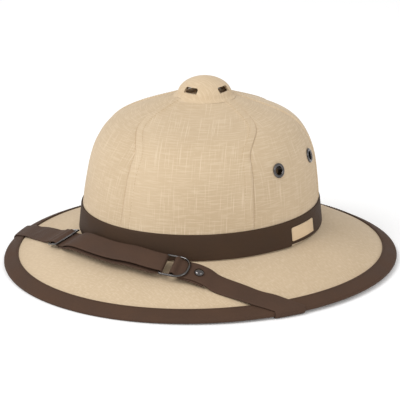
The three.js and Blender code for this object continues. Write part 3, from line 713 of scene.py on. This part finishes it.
inside = -(crown_wall + 4 * clearance)
tube = eyelet_hole + eyelet_tube
flange_top = clearance + eyelet_flange_thickness
eyelet_profile = [
    (eyelet_hole, inside - eyelet_tube), (tube + eyelet_tube, inside - eyelet_tube),
    (tube + eyelet_tube, inside), (tube, inside), (tube, clearance), (eyelet_flange, clearance),
    (eyelet_flange + 0.12, clearance + 0.25), (eyelet_flange - 0.15, clearance + 0.6),
    (mix(eyelet_hole, eyelet_flange, 0.72), flange_top), (mix(eyelet_hole, eyelet_flange, 0.45), flange_top),
    (mix(eyelet_hole, eyelet_flange, 0.2), flange_top - 0.18), (eyelet_hole + 0.08, flange_top - 0.5),
    (eyelet_hole, flange_top - 0.9), (eyelet_hole, inside - eyelet_tube),
]
eyelet_model = turned("eyelet_model", eyelet_profile, 40, 45)
for side, sign in (("left", 1), ("right", -1)):
    for end, polar in eyelet_polars.items():
        stand = crown_frame(sign * math.radians(polar), eyelet_height)
        deselect()
        bpy.ops.mesh.primitive_cylinder_add(vertices=40, radius=(tube + clearance) * MM, depth=0.016)
        drill = bpy.context.object
        drill.data.transform(stand)
        cut_away(crown, drill)
        ring = eyelet_model.copy()
        ring.data = eyelet_model.data.copy()
        bpy.context.scene.collection.objects.link(ring)
        ring.name = f"eyelet_ring_{side}_{end}"
        ring.data.transform(stand)
        settle(ring, f"eyelet_{side}_{end}", "metal", nickel)
bpy.data.objects.remove(eyelet_model)

settle(crown, "crown", "cloth", crown_cloth, lining_cloth)
for polygon in crown.data.polygons:
    uvs = [crown.data.uv_layers[0].data[i].uv.y for i in polygon.loop_indices]
    polygon.material_index = 1 if min(uvs) > lining_chart * MM else 0
print("crown lining faces", sum(p.material_index for p in crown.data.polygons))

# %% [markdown]
# Brim
#
# The brim is one sheet, covered above and below and sloping down all round. It is laid as a
# closed section carried round the oval, finer near the rim where it turns over.

# %% Brim
half = brim_thickness / 2
brim_shares = [0.97, 0.88, 0.75, 0.6, 0.45, 0.3, 0.18, 0.08, 0.01]
brim_rows = []
for polar in round_polars(192):
    inner = oval(polar, *crown_oval(crown_foot)) + clearance
    top = [brim_layer(polar, share, half) for share in brim_shares]
    under = [brim_layer(polar, share, -half) for share in brim_shares][::-1]
    top[-1] = (inner, top[-1][1])
    under[0] = (inner, under[0][1])
    section = rim_arc(polar, half, 6)[::-1] + top + under
    section.append(section[0])
    brim_rows.append(ring_of(polar, section))
settle(laid_grid("brim_cover", brim_rows, None, 40), "brim", "cloth", brim_cloth)

# %% [markdown]
# Binding
#
# A leather strip is folded over the rim and sewn through near both of its edges. The strip has
# a real thickness, its cut edges are slightly rounded, and its inner edge is pulled down a
# little between stitches.

# %% Binding
inner_skin, outer_skin = half + clearance, half + clearance + binding_thickness
edge_drop, shoulder_drop, shoulder_width = 0.35, 0.1, 0.4


def binding_section(polar):
    width = brim_width_at(polar)
    top, under = 1 - binding_width / width, 1 - binding_under / width
    pull = 0.08 * math.sin(polar * 350)
    steps = 5
    skin_top = [(mix(top, 1, i / steps), 1) for i in range(steps)]
    skin_under = [(mix(under, 1, i / steps), -1) for i in range(steps)][::-1]
    edge = shoulder_width / width

    def point(share, side, offset):
        return brim_layer(polar, share, side * offset)

    outer = [point(top, 1, outer_skin - edge_drop)]
    outer.append(point(top + edge, 1, outer_skin - shoulder_drop + pull * 0.5))
    outer += [point(share, side, outer_skin) for share, side in skin_top[1:]]
    outer += rim_arc(polar, outer_skin, 10)
    outer += [point(share, side, outer_skin) for share, side in skin_under[:-1]]
    outer += [point(under + edge, -1, outer_skin - shoulder_drop), point(under, -1, outer_skin - edge_drop)]
    inner = rim_arc(polar, inner_skin, 6)[::-1]
    return [*outer, point(under, -1, inner_skin), *inner, point(top, 1, inner_skin), outer[0]]


binding_rows = [ring_of(polar, binding_section(polar)) for polar in round_polars(384)]
settle(laid_grid("rim_binding", binding_rows, None, 40), "brim_binding", "trim", binding_leather)

# %% [markdown]
# Stitches
#
# A stitch is a tiny lentil of thread pressed into what it holds. One is modelled from a sphere,
# and then copied along each sewn line: round the binding's inner edge, and up the outer side
# of each folded strip on the crown.

# %% Stitches
deselect()
bpy.ops.mesh.primitive_uv_sphere_add(segments=6, ring_count=4, radius=1)
stitch_model = bpy.context.object
stitch_shape = [v.co.copy() for v in stitch_model.data.vertices]
stitch_faces = [list(p.vertices) for p in stitch_model.data.polygons]
bpy.data.objects.remove(stitch_model)


def sew(name, line, thread, pitch, length, width):
    """line: points in mm with their outward normals, close together. Lays stitches along it."""
    vertices, faces = [], []
    travelled, due = 0.0, pitch / 2
    for (a, normal), (b, _) in zip(line, line[1:]):
        step = (b - a).length
        while travelled + step >= due:
            spot = a.lerp(b, (due - travelled) / max(step, 1e-9))
            along = (b - a).normalized()
            across = normal.cross(along).normalized()
            out = along.cross(across)
            start = len(vertices)
            for p in stitch_shape:
                sideways = across * p.y * width / 2 + out * p.z * width / 2
                vertices.append((spot + along * p.x * length / 2 + sideways) * MM)
            faces += [[start + i for i in face] for face in stitch_faces]
            due += pitch
        travelled += step
    mesh = bpy.data.meshes.new(name)
    mesh.from_pydata(vertices, [], faces)
    obj = bpy.data.objects.new(name, mesh)
    bpy.context.scene.collection.objects.link(obj)
    choose(obj)
    bpy.ops.object.shade_smooth()
    settle(obj, None, "trim", thread)


binding_line = []
for polar in round_polars(720):
    share = 1 - (binding_width - 1.6) / brim_width_at(polar)
    low, high = brim_layer(polar, share, 0), brim_layer(polar, share, outer_skin + 0.02)
    out = place(polar, high[0] - low[0], high[1] - low[1]).normalized()
    binding_line.append((place(polar, *high), out))
sew("binding_stitches", binding_line, brown_thread, pitch=3.2, length=2.3, width=0.42)

stitched_mark = 5
strip_columns = 2 * len(strip_marks) + middle_columns
panel_pair = strip_columns + 2 * len(plain_marks) + middle_columns
for k in range(3):
    for side, column in (("start", stitched_mark), ("end", strip_columns - stitched_mark - 1)):
        seam_line = []
        for ring in outer_rings[3:-5]:
            point = ring[k * panel_pair + column]
            seam_line.append((point, Vector((point.x, point.y, point.z - brim_rise)).normalized()))
        sew(f"seam_stitches_{2 * k}_{side}", seam_line, sewing_thread, pitch=2.6, length=1.7, width=0.36)

# %% [markdown]
# Band and tab
#
# The band wraps the crown's foot and laps over itself on the wearer's left. A small bare tab
# sits just behind the join.

# %% Band
join = math.radians(band_join)
lap_angle = band_lap_length / (head_width / 2)


def band_radius(polar, height):
    return oval(polar, *crown_oval(height)) + clearance + band_thickness


def band_lap(polar):
    return 1 - smooth(0, lap_angle, (join - polar) % (2 * math.pi))


band_polars = [2 * math.pi * i / 240 for i in range(240)]
band_polars = sorted([p for p in band_polars if abs(p - join) > 0.008] + [join, join + 0.002])
band_rows = []
for polar in band_polars + [band_polars[0] + 2 * math.pi]:
    lap = band_lap(polar) * band_thickness
    past = (polar - join) % (2 * math.pi)
    lift = band_step * (1 - smooth(0, lap_angle, past)) if 0.001 < past else 0
    foot = junction + clearance + lift

    def base(height):
        return band_radius(polar, height) - band_thickness

    swell = 0.12 * math.sin(polar * 9) + 0.08 * math.sin(polar * 23 + 1)
    outline = [(foot, 0.25), (foot + 0.35, 0.85), (foot + 1.2, 1)]
    outline += [(mix(foot, band_top, part), 1) for part in (0.25, 0.5, 0.75)]
    outline += [(band_top - 1.2, 1), (band_top - 0.35, 0.85), (band_top, 0.25)]
    section = []
    for height, part in outline:
        puff = swell if 1.5 < height - foot < band_height - 1.5 else 0
        section.append((base(height) + (band_thickness + lap) * part + puff * 0.5, height))
    section += [(base(height), height) for height in (band_top, mix(foot, band_top, 0.5), foot)]
    section.append(section[0])
    band_rows.append(ring_of(polar, section))
settle(laid_grid("crown_band", band_rows, None, 45), "hatband", "trim", band_leather)

# %% Tab
tab_middle = junction + band_height * 0.45
tab_start = join + 1.5 / (head_width / 2)
tab_corner, tab_steps = 0.7, 32
tab_profile = [(-1, 0.2), (-0.97, 0.8), (-0.9, 1), (-0.3, 1), (0.3, 1), (0.9, 1), (0.97, 0.8), (1, 0.2)]
tab_rows = []
for i in range(tab_steps + 1):
    part = i / tab_steps
    end = min(part, 1 - part) * label_length
    corner = tab_corner - math.sqrt(max(tab_corner**2 - max(tab_corner - end, 0) ** 2, 0))
    polar = tab_start + label_length / (head_width / 2) * part
    reach = label_height / 2 - corner
    soft = 0.25 if i in (0, tab_steps) else 1
    section = []
    for offset, part_out in tab_profile:
        height = tab_middle + offset * reach
        section.append((band_radius(polar, height) + clearance + label_thickness * part_out * soft, height))
    for offset in (1, 0, -1):
        height = tab_middle + offset * reach
        section.append((band_radius(polar, height) + clearance, height))
    section.append(section[0])
    tab_rows.append(ring_of(polar, section))
tab_rows = [pole_of(tab_rows[0]), *tab_rows, pole_of(tab_rows[-1])]
settle(laid_grid("bare_tab", tab_rows, None, 40), "label", "tab", tab_leather)

# %% [markdown]
# Vent cap
#
# A small cloth-covered dome stands over the vent, and its foot flares out onto the crown. Above
# its collar four arched openings let the air out. It is laid as a dome with a wall, and two
# bars with rounded tops are cut through it.

# %% Vent cap
def cap_dome(radius, height, foot, count):
    arc = []
    for i in range(count + 1):
        angle = math.pi / 2 * (1 - i / count)
        across = radius * math.cos(angle) ** cap_rounding if i else 0.0
        arc.append((across, foot + (height - foot) * math.sin(angle)))
    return arc


cap_top = apex + cap_rise - cap_foot
slope = (apex - cap_foot) / cap_radius
outer = cap_dome(cap_radius, cap_top, 2 * clearance, 20)
inner = cap_dome(cap_radius - cap_wall, cap_top - cap_wall, 2 * clearance + slope * cap_wall, 12)
outer = [(radius, height) for radius, height in outer if height > cap_flare[0][1] + 0.4]
outer += [(cap_radius + out, height) for out, height in cap_flare]
section = [*outer, *inner[::-1]]
cap_rows, cap_chart = [], []
for polar in round_polars(96):
    cap_rows.append(ring_of(polar, section))
    cap_chart.append([(radius * math.sin(polar), -radius * math.cos(polar)) for radius, _ in section])
cap = laid_grid("vent_cap_cover", cap_rows, cap_chart, 40)
for turn in (cap_turn, cap_turn + 90):
    deselect()
    bpy.ops.mesh.primitive_cube_add(size=1)
    bar = bpy.context.object
    bar.data.transform(Matrix.Diagonal((cap_opening_width * MM, 0.08, cap_opening_height * MM, 1)))
    bar.data.transform(Matrix.Translation((0, 0, (cap_collar_height + cap_opening_height / 2) * MM)))
    select_edges(bar, lambda a, b: min(a.z, b.z) > (cap_collar_height + 1) * MM and abs(a.x - b.x) < 1e-5)
    bpy.ops.mesh.bevel(offset=cap_opening_corner * MM, segments=6)
    bpy.ops.object.mode_set(mode="OBJECT")
    bar.data.transform(turn_about("Z", turn))
    cut_away(cap, bar)
cap.data.transform(Matrix.Translation((0, dome_set_back * MM, cap_foot * MM)))
finish_mesh(cap, 40, 1e-5, turn_out=False)
settle(cap, "vent_cap", "cloth", cap_cloth)


# %% [markdown]
# The chin strap's route
#
# The strap is stowed over the front of the brim. Its outer edge follows a few chosen points,
# and its inner edge lies one strap width further up the brim, or climbs the band where the
# crown comes first.

# %% Route over the brim
strap_lift = clearance + strap_thickness / 2


def cover_offset(polar, share, width):
    start = 1 - width / brim_width_at(polar)
    return brim_thickness / 2 + smooth(start - 0.2, start - 0.06, share) * (clearance + binding_thickness)


def on_hat(point, side=1):
    polar = math.atan2(point.x, -point.y)
    radius = math.hypot(point.x, point.y)
    width = binding_width if side > 0 else binding_under
    share = (radius - brim_middle(polar, 0)[0]) / brim_width_at(polar)
    for _ in range(4):
        share = min(max(share, -0.05), 1)
        found = brim_layer(polar, share, side * (cover_offset(polar, share, width) + strap_lift))
        share += (radius - found[0]) / brim_width_at(polar)
    return Vector((point.x, point.y, found[1]))


brim_lean = math.atan2(brim_rise, (hat_length - head_length) / 2)
slider_overhang = hardware_gap + slider_bar_width


def route_points():
    """A smooth plan through the chosen points, which are spaced unevenly."""
    knots = []
    for polar, share in strap_route:
        polar = math.radians(polar)
        nearest = band_radius(polar, junction) + (strap_width + slider_overhang) * math.cos(brim_lean)
        knots.append(place(polar, mix(nearest, brim_middle(polar, 1)[0], share), 0))
    knots = [2 * knots[0] - knots[1], *knots, 2 * knots[-1] - knots[-2]]
    points = []
    for p0, p1, p2, p3 in zip(knots, knots[1:], knots[2:], knots[3:]):
        d0, d1, d2 = ((b - a).length ** 0.5 for a, b in ((p0, p1), (p1, p2), (p2, p3)))
        m1 = ((p1 - p0) / d0 - (p2 - p0) / (d0 + d1) + (p2 - p1) / d1) * d1
        m2 = ((p2 - p1) / d1 - (p3 - p1) / (d1 + d2) + (p3 - p2) / d2) * d1
        for i in range(24):
            t = i / 24
            cubic = p1 * (2 * t**3 - 3 * t**2 + 1) + m1 * (t**3 - 2 * t**2 + t)
            points.append(cubic + p2 * (3 * t**2 - 2 * t**3) + m2 * (t**3 - t**2))
    return [*points, knots[-2]]


route = route_points()
route_marks = [0.0]
for a, b in zip(route, route[1:]):
    route_marks.append(route_marks[-1] + (b - a).length)
route_length = route_marks[-1]


def route_at(distance):
    distance = min(max(distance, 0), route_length)
    i = max(1, next((k for k, mark in enumerate(route_marks) if mark >= distance), len(route) - 1))
    part = (distance - route_marks[i - 1]) / (route_marks[i] - route_marks[i - 1])
    return route[i - 1].lerp(route[i], part)


@lru_cache(maxsize=None)
def route_frame(distance):
    spot = min(max(distance, 0), route_length)
    tangent = (route_at(spot + 1) - route_at(spot - 1)).normalized()
    inward = Vector((-tangent.y, tangent.x, 0))
    outer_edge = on_hat(route_at(spot))

    def reach(run):
        plan = outer_edge + inward * run
        polar = math.atan2(plan.x, -plan.y)
        wall = band_radius(polar, junction) + band_thickness * band_lap(polar) + strap_lift
        if math.hypot(plan.x, plan.y) > wall:
            return on_hat(plan), True
        plan.z = outer_edge.z + math.sqrt(max(strap_width**2 - run**2, 0))
        return plan, False

    low, high = 0.0, float(strap_width)
    for _ in range(18):
        run = (low + high) / 2
        point, free = reach(run)
        if free and (point - outer_edge).length < strap_width:
            low = run
        else:
            high = run
    inner_edge = reach(high)[0]
    across = (inner_edge - outer_edge).normalized()
    reach_on = 0.01 * route_length
    ahead, behind = on_hat(route_at(spot + reach_on)), on_hat(route_at(spot - reach_on))
    up = (ahead - behind).cross(across).normalized()
    return Matrix.Translation((outer_edge + inner_edge) / 2) @ standing(across, up)


def distance_at_polar(polar):
    low, high = 0.0, route_length
    for _ in range(22):
        middle = (low + high) / 2
        point = route_frame(middle).translation
        low, high = (middle, high) if math.atan2(point.x, -point.y) < math.radians(polar) else (low, middle)
    return low


slider_at = distance_at_polar(slider_polar)
buckle_at = distance_at_polar(buckle_polar)
rivet_at = buckle_at + rivet_from_buckle
print("route", round(route_length, 1), "slider", round(slider_at, 1), "buckle", round(buckle_at, 1), "mm")


def bowed_frame(distance):
    """Between the slider and the buckle the strap spans freely and leans on the band."""
    rise = smooth(slider_at - bow_rise[0], slider_at + bow_rise[1], distance)
    fall = smooth(buckle_at - bow_fall[0], buckle_at + bow_fall[1], distance)
    return Matrix.Translation((0, 0, strap_bow * rise * (1 - fall))) @ route_frame(distance)


slider_frame = bowed_frame(slider_at) @ turn_about("Z", slider_turn)
buckle_frame = bowed_frame(buckle_at) @ Matrix.Translation((0, -buckle_shift, buckle_lift))
buckle_frame = buckle_frame @ turn_about("Z", buckle_turn) @ turn_about("Y", buckle_pitch)
hardware = ((slider_at, slider_frame, slider_length), (buckle_at, buckle_frame, buckle_length))
held_flat, held_free = 0.58, 1.7


def strap_point(distance, across, height=0.0):
    """A point of the strap, which lies flat in its hardware and follows the route elsewhere."""
    point = bowed_frame(distance) @ Vector((0, across * strap_width, height))
    for at, stand, length in hardware:
        held = 1 - smooth(held_flat * length, held_free * length, abs(distance - at))
        if held > 0:
            point = point.lerp(stand @ Vector((distance - at, across * strap_width, height)), held)
    return point


# %% [markdown]
# The strap's two pieces
#
# The longer piece comes from inside the crown on the wearer's right, passes through the slider,
# folds round the buckle and comes back under itself. The shorter one comes from the left and is
# folded round the buckle's centre bar and riveted. Both are laid row by row along the route.

# %% Strap rows
layer_step = strap_thickness + clearance
fold_radius = buckle_wire / 2 + clearance + strap_thickness / 2
buckle_bar = buckle_length / 2 - buckle_wire / 2
slider_bar = slider_length / 2 - slider_bar_width / 2
bar_rise = (slider_bar_thickness + strap_thickness) / 2 + 1.7 * clearance
slider_left = (slider_bar_thickness - strap_thickness) / 2
slider_right = layer_step + bar_rise
slider_middle = (slider_left + slider_right) / 2
buckle_left = fold_radius
buckle_right = layer_step + strap_thickness / 2 + clearance + buckle_wire / 2
buckle_middle = (buckle_left + buckle_right) / 2
# Columns over the strap's width, and how much of its thickness is left at each
across_shares = [-0.5, -0.49, -0.46, -0.3, 0, 0.3, 0.46, 0.49, 0.5]
edge_parts = [0.45, 0.8, 1, 1, 1, 1, 1, 0.8, 0.45]


def strap_row(distance, height, shift=0.0):
    return [strap_point(distance, across - shift / strap_width, height) for across in across_shares]


def height_along(stops, distance):
    if distance <= stops[0][0]:
        return stops[0][1]
    for (a, low), (b, high) in zip(stops, stops[1:]):
        if distance <= b:
            return mix(low, high, smooth(a, b, distance))
    return stops[-1][1]


def rows_between(start, end, spacing, height_at, shift_at=lambda distance: 0.0):
    count = max(2, round(abs(end - start) / spacing))
    spots = [mix(start, end, i / count) for i in range(count + 1)]
    return [strap_row(spot, height_at(spot), shift_at(spot)) for spot in spots]


def fold_rows(bar, bar_height, facing, steps):
    laid = []
    for i in range(1, steps):
        angle = math.pi * i / steps
        along, height = facing * fold_radius * math.sin(angle), fold_radius * math.cos(angle)
        laid.append(strap_row(bar + along, bar_height + height))
    return laid


def turn_rows(flat_row, turn):
    """Rows over the rim, in under the brim and up inside the crown."""
    rim_outer, rim_inner, anchor_outer, anchor_inner = turn
    rim_polars = [math.radians(mix(rim_outer, rim_inner, across + 0.5)) for across in across_shares]
    anchors = [math.radians(mix(anchor_outer, anchor_inner, across + 0.5)) for across in across_shares]
    cover = brim_thickness / 2 + clearance + binding_thickness + strap_lift
    arcs = [ring_of(polar, rim_arc(polar, cover, 12)) for polar in rim_polars]
    wrap = [list(row) for row in zip(*arcs)]

    def between(first, last, side, steps=14):
        parts = [i / steps for i in range(1, steps)]
        return [[on_hat(a.lerp(b, part), side) for a, b in zip(first, last)] for part in parts]

    inside_oval = crown_oval(crown_foot)

    def inner_foot(polar):
        return oval(polar, *inside_oval) - crown_wall

    bend = []
    for angle in (-90, -112, -135, -158, -180):
        reach = strap_lift * (1.5 + 0.2 * abs(math.sin(2 * math.radians(angle))))
        shift, drop = reach * math.cos(math.radians(angle)), reach * math.sin(math.radians(angle))
        bend.append([place(polar, inner_foot(polar) + shift, crown_foot + drop) for polar in anchors])
    reach, height = crown_wall + strap_thickness, crown_foot - 1.5 * strap_lift
    beneath = [place(polar, inner_foot(polar) + reach, height) for polar in anchors]
    rise = []
    for part in (0.35, 0.7, 1):
        height = crown_foot + anchor_height * part
        taper = inside_oval[1] - crown_oval(height)[1]
        rise.append([place(polar, inner_foot(polar) - taper - 1.5 * strap_lift, height) for polar in anchors])
    over_brim, under_brim = between(flat_row, wrap[0], 1), between(wrap[-1], beneath, -1)
    return [*over_brim, *wrap, *under_brim, beneath, *bend, *rise]


def strap_piece(name, stations, node):
    """Lays a strip with softened edges through rows of points, and returns its length."""
    last = len(stations) - 1
    loops, chart, travelled = [], [], 0.0
    widths = [a * strap_width for a in across_shares]
    for k, station in enumerate(stations):
        before, after = stations[max(k - 1, 0)], stations[min(k + 1, last)]
        count = len(station)
        shifts = []
        for j, point in enumerate(station):
            along = after[j] - before[j]
            across = station[min(j + 1, count - 1)] - station[max(j - 1, 0)]
            shifts.append(along.cross(across).normalized() * strap_thickness / 2 * edge_parts[j])
        loop = [p + s for p, s in zip(station, shifts)] + [p - s for p, s in zip(station, shifts)][::-1]
        loops.append([*loop, loop[0]])
        if k:
            travelled += (station[4] - stations[k - 1][4]).length
        chart.append([(travelled, w) for w in [*widths, *widths[::-1], widths[0]]])
    loops = [pole_of(loops[0]), *loops, pole_of(loops[-1])]
    chart = [chart[0], *chart, chart[-1]]
    settle(laid_grid(name, loops, chart, 50), node, "strap", strap_leather)
    return travelled


# %% Longer piece
run_in = slider_at - slider_length / 2 - 9
bar = buckle_at - buckle_bar
# Distance along the route, and the strap's height over the hat there
over = [
    (run_in, 0), (slider_at - slider_bar, slider_left + bar_rise), (slider_at, slider_middle + bar_rise),
    (slider_at + slider_bar, layer_step), (slider_at + bow_rise[1], layer_step + layer_spread),
    (bar, buckle_left + fold_radius),
]


def lower_shift(distance):
    away = 1 - smooth(bar - strap_width / 2, bar, distance)
    return lower_layer_shift * away * smooth(slider_at, run_in + bow_rise[1], distance)


right_rows = [
    *reversed(turn_rows(strap_row(0, 0), strap_turns["right"])),
    *rows_between(0, run_in, 3, lambda d: 0)[:-1],
    *rows_between(run_in, slider_at + slider_length / 2 + 6, 1.2, lambda d: height_along(over, d)),
    *rows_between(slider_at + slider_length / 2 + 6, bar, 2.5, lambda d: height_along(over, d))[1:],
    *fold_rows(bar, buckle_left, 1, 12),
    *rows_between(bar, slider_at, 3, lambda d: 0, lower_shift),
]
right_length = strap_piece("chin_strap_right", right_rows, "strap_right")

# %% Shorter piece
fold_end = rivet_at + fold_past_rivet
lower = [(buckle_at, buckle_middle - fold_radius), (buckle_at + buckle_bar, 0)]
upper = [
    (buckle_at, buckle_middle + fold_radius), (buckle_at + buckle_bar - buckle_corner + 1.5, layer_step),
    (fold_end, layer_step), (fold_end + 8, 0),
]


def fold_shift(distance):
    return lower_layer_shift * smooth(buckle_at, rivet_at, distance)


left_rows = [
    *reversed(rows_between(buckle_at, fold_end, 2, lambda d: height_along(lower, d), fold_shift)),
    *reversed(fold_rows(buckle_at, buckle_middle, -1, 12)),
    *rows_between(buckle_at, fold_end + 8, 1.5, lambda d: height_along(upper, d)),
    *rows_between(fold_end + 8, route_length, 3, lambda d: 0)[1:],
    *turn_rows(strap_row(route_length, 0), strap_turns["left"]),
]
left_length = strap_piece("chin_strap_left", left_rows, "strap_left")
print("strap lengths", round(right_length), round(left_length), "mm")


# %% [markdown]
# Slider, buckle and rivet
#
# The slider is stamped flat with a centre bar. Two squares of a grid are inset and emptied,
# which leaves the bars, and the plate then gets its thickness and rounded edges. The buckle is
# bent wire with a bar across, and the rivet a low dome.

# %% Slider
def leaning(stand, left_height, right_height, half_span):
    lean = math.atan2(right_height - left_height, 2 * half_span)
    middle = Matrix.Translation((0, 0, (left_height + right_height) / 2))
    return stand @ middle @ Matrix.Rotation(-lean, 4, "Y")


def in_metres(matrix):
    scaled = matrix.copy()
    scaled.translation = matrix.translation * MM
    return scaled


slider_width = strap_width + 2 * slider_overhang
deselect()
bpy.ops.mesh.primitive_grid_add(x_subdivisions=2, y_subdivisions=1, size=2)
slider = bpy.context.object
slider.name = slider.data.name = "slider_frame"
slider.data.transform(Matrix.Diagonal((slider_length / 2 * MM, slider_width / 2 * MM, 1, 1)))
bpy.ops.object.mode_set(mode="EDIT")
bpy.ops.mesh.select_mode(type="FACE")
bpy.ops.mesh.select_all(action="SELECT")
bpy.ops.mesh.inset(thickness=slider_bar_width * MM, use_individual=True)
bpy.ops.mesh.delete(type="FACE")
bpy.ops.object.mode_set(mode="OBJECT")
for vertex in slider.data.vertices:
    if abs(vertex.co.x) < 1.2 * slider_bar_width * MM:
        vertex.co.x *= 0.5
apply_modifier(slider, "SOLIDIFY", thickness=slider_bar_thickness * MM, offset=0)
apply_modifier(slider, "BEVEL", width=0.00045, segments=4, limit_method="ANGLE")
slider.data.transform(in_metres(leaning(slider_frame, slider_left, slider_right, slider_bar)))
finish_mesh(slider, 50, 1e-7)
settle(slider, "slider", "metal", nickel)

# %% Buckle
def rounded_outline(length, width, corner, low_corner, spacing):
    """Points round a rectangle with rounded corners, the low end's corners of another radius."""
    points = []
    for x_side, y_side, start in ((1, 1, 0), (-1, 1, 90), (-1, -1, 180), (1, -1, 270)):
        radius = corner if x_side > 0 else low_corner
        x, y = x_side * (length / 2 - radius), y_side * (width / 2 - radius)
        for i in range(9):
            angle = math.radians(start + 90 * i / 8)
            points.append(Vector((x + radius * math.cos(angle), y + radius * math.sin(angle), 0)))
    dense = []
    for a, b in zip(points, points[1:] + points[:1]):
        steps = max(1, round((b - a).length / spacing))
        dense += [a.lerp(b, i / steps) for i in range(steps)]
    return dense


wire = buckle_wire / 2
buckle_width = strap_width + 2 * hardware_gap + buckle_wire
line = rounded_outline(buckle_length - buckle_wire, buckle_width, buckle_corner, buckle_low_corner, 1.5)
buckle_rows = []
for i in range(len(line) + 1):
    here, after, before = line[i % len(line)], line[(i + 1) % len(line)], line[i - 1]
    along = (after - before).normalized()
    out = Vector((along.y, -along.x, 0))
    rim = Vector((0, 0, wire))
    buckle_rows.append([here + out * wire * math.cos(a) + rim * math.sin(a) for a in round_polars(16)])
buckle = laid_grid("buckle_frame", buckle_rows, None, 60)
deselect()
bpy.ops.mesh.primitive_cylinder_add(vertices=20, radius=wire * 0.98 * MM, depth=buckle_width * MM)
centre_bar = bpy.context.object
centre_bar.data.transform(turn_about("X", 90))
apply_modifier(buckle, "BOOLEAN", operation="UNION", solver="EXACT", object=centre_bar)
bpy.data.objects.remove(centre_bar)
buckle.data.transform(in_metres(leaning(buckle_frame, buckle_left, buckle_right, buckle_bar)))
finish_mesh(buckle, 60, 1e-7, turn_out=False)
settle(buckle, "buckle", "metal", nickel)

# %% Rivet
seat = strap_thickness / 2 + clearance
shank_end, dome_foot = -layer_step - strap_thickness / 2, seat + 0.2
rivet_profile = [(0, shank_end), (rivet_shank, shank_end), (rivet_shank, seat)]
rivet_profile += [(rivet_radius - 0.15, seat), (rivet_radius, dome_foot)]
for i in range(1, 13):
    angle = math.pi / 2 * i / 12
    rivet_profile.append((rivet_radius * math.cos(angle), dome_foot + (rivet_height - 0.2) * math.sin(angle)))
rivet_profile[-1] = (0, rivet_profile[-1][1])
rivet = turned("rivet_head", rivet_profile, 40, 50)
ahead, behind = strap_point(rivet_at + 2, 0), strap_point(rivet_at - 2, 0)
across = (strap_point(rivet_at, 0.5) - strap_point(rivet_at, -0.5)).normalized()
up = (ahead - behind).cross(across).normalized()
rivet_stand = Matrix.Translation(strap_point(rivet_at, 0)) @ standing(across, up)
rivet.data.transform(in_metres(rivet_stand @ Matrix.Translation((0, 0, layer_step))))
settle(rivet, "rivet", "metal", nickel)
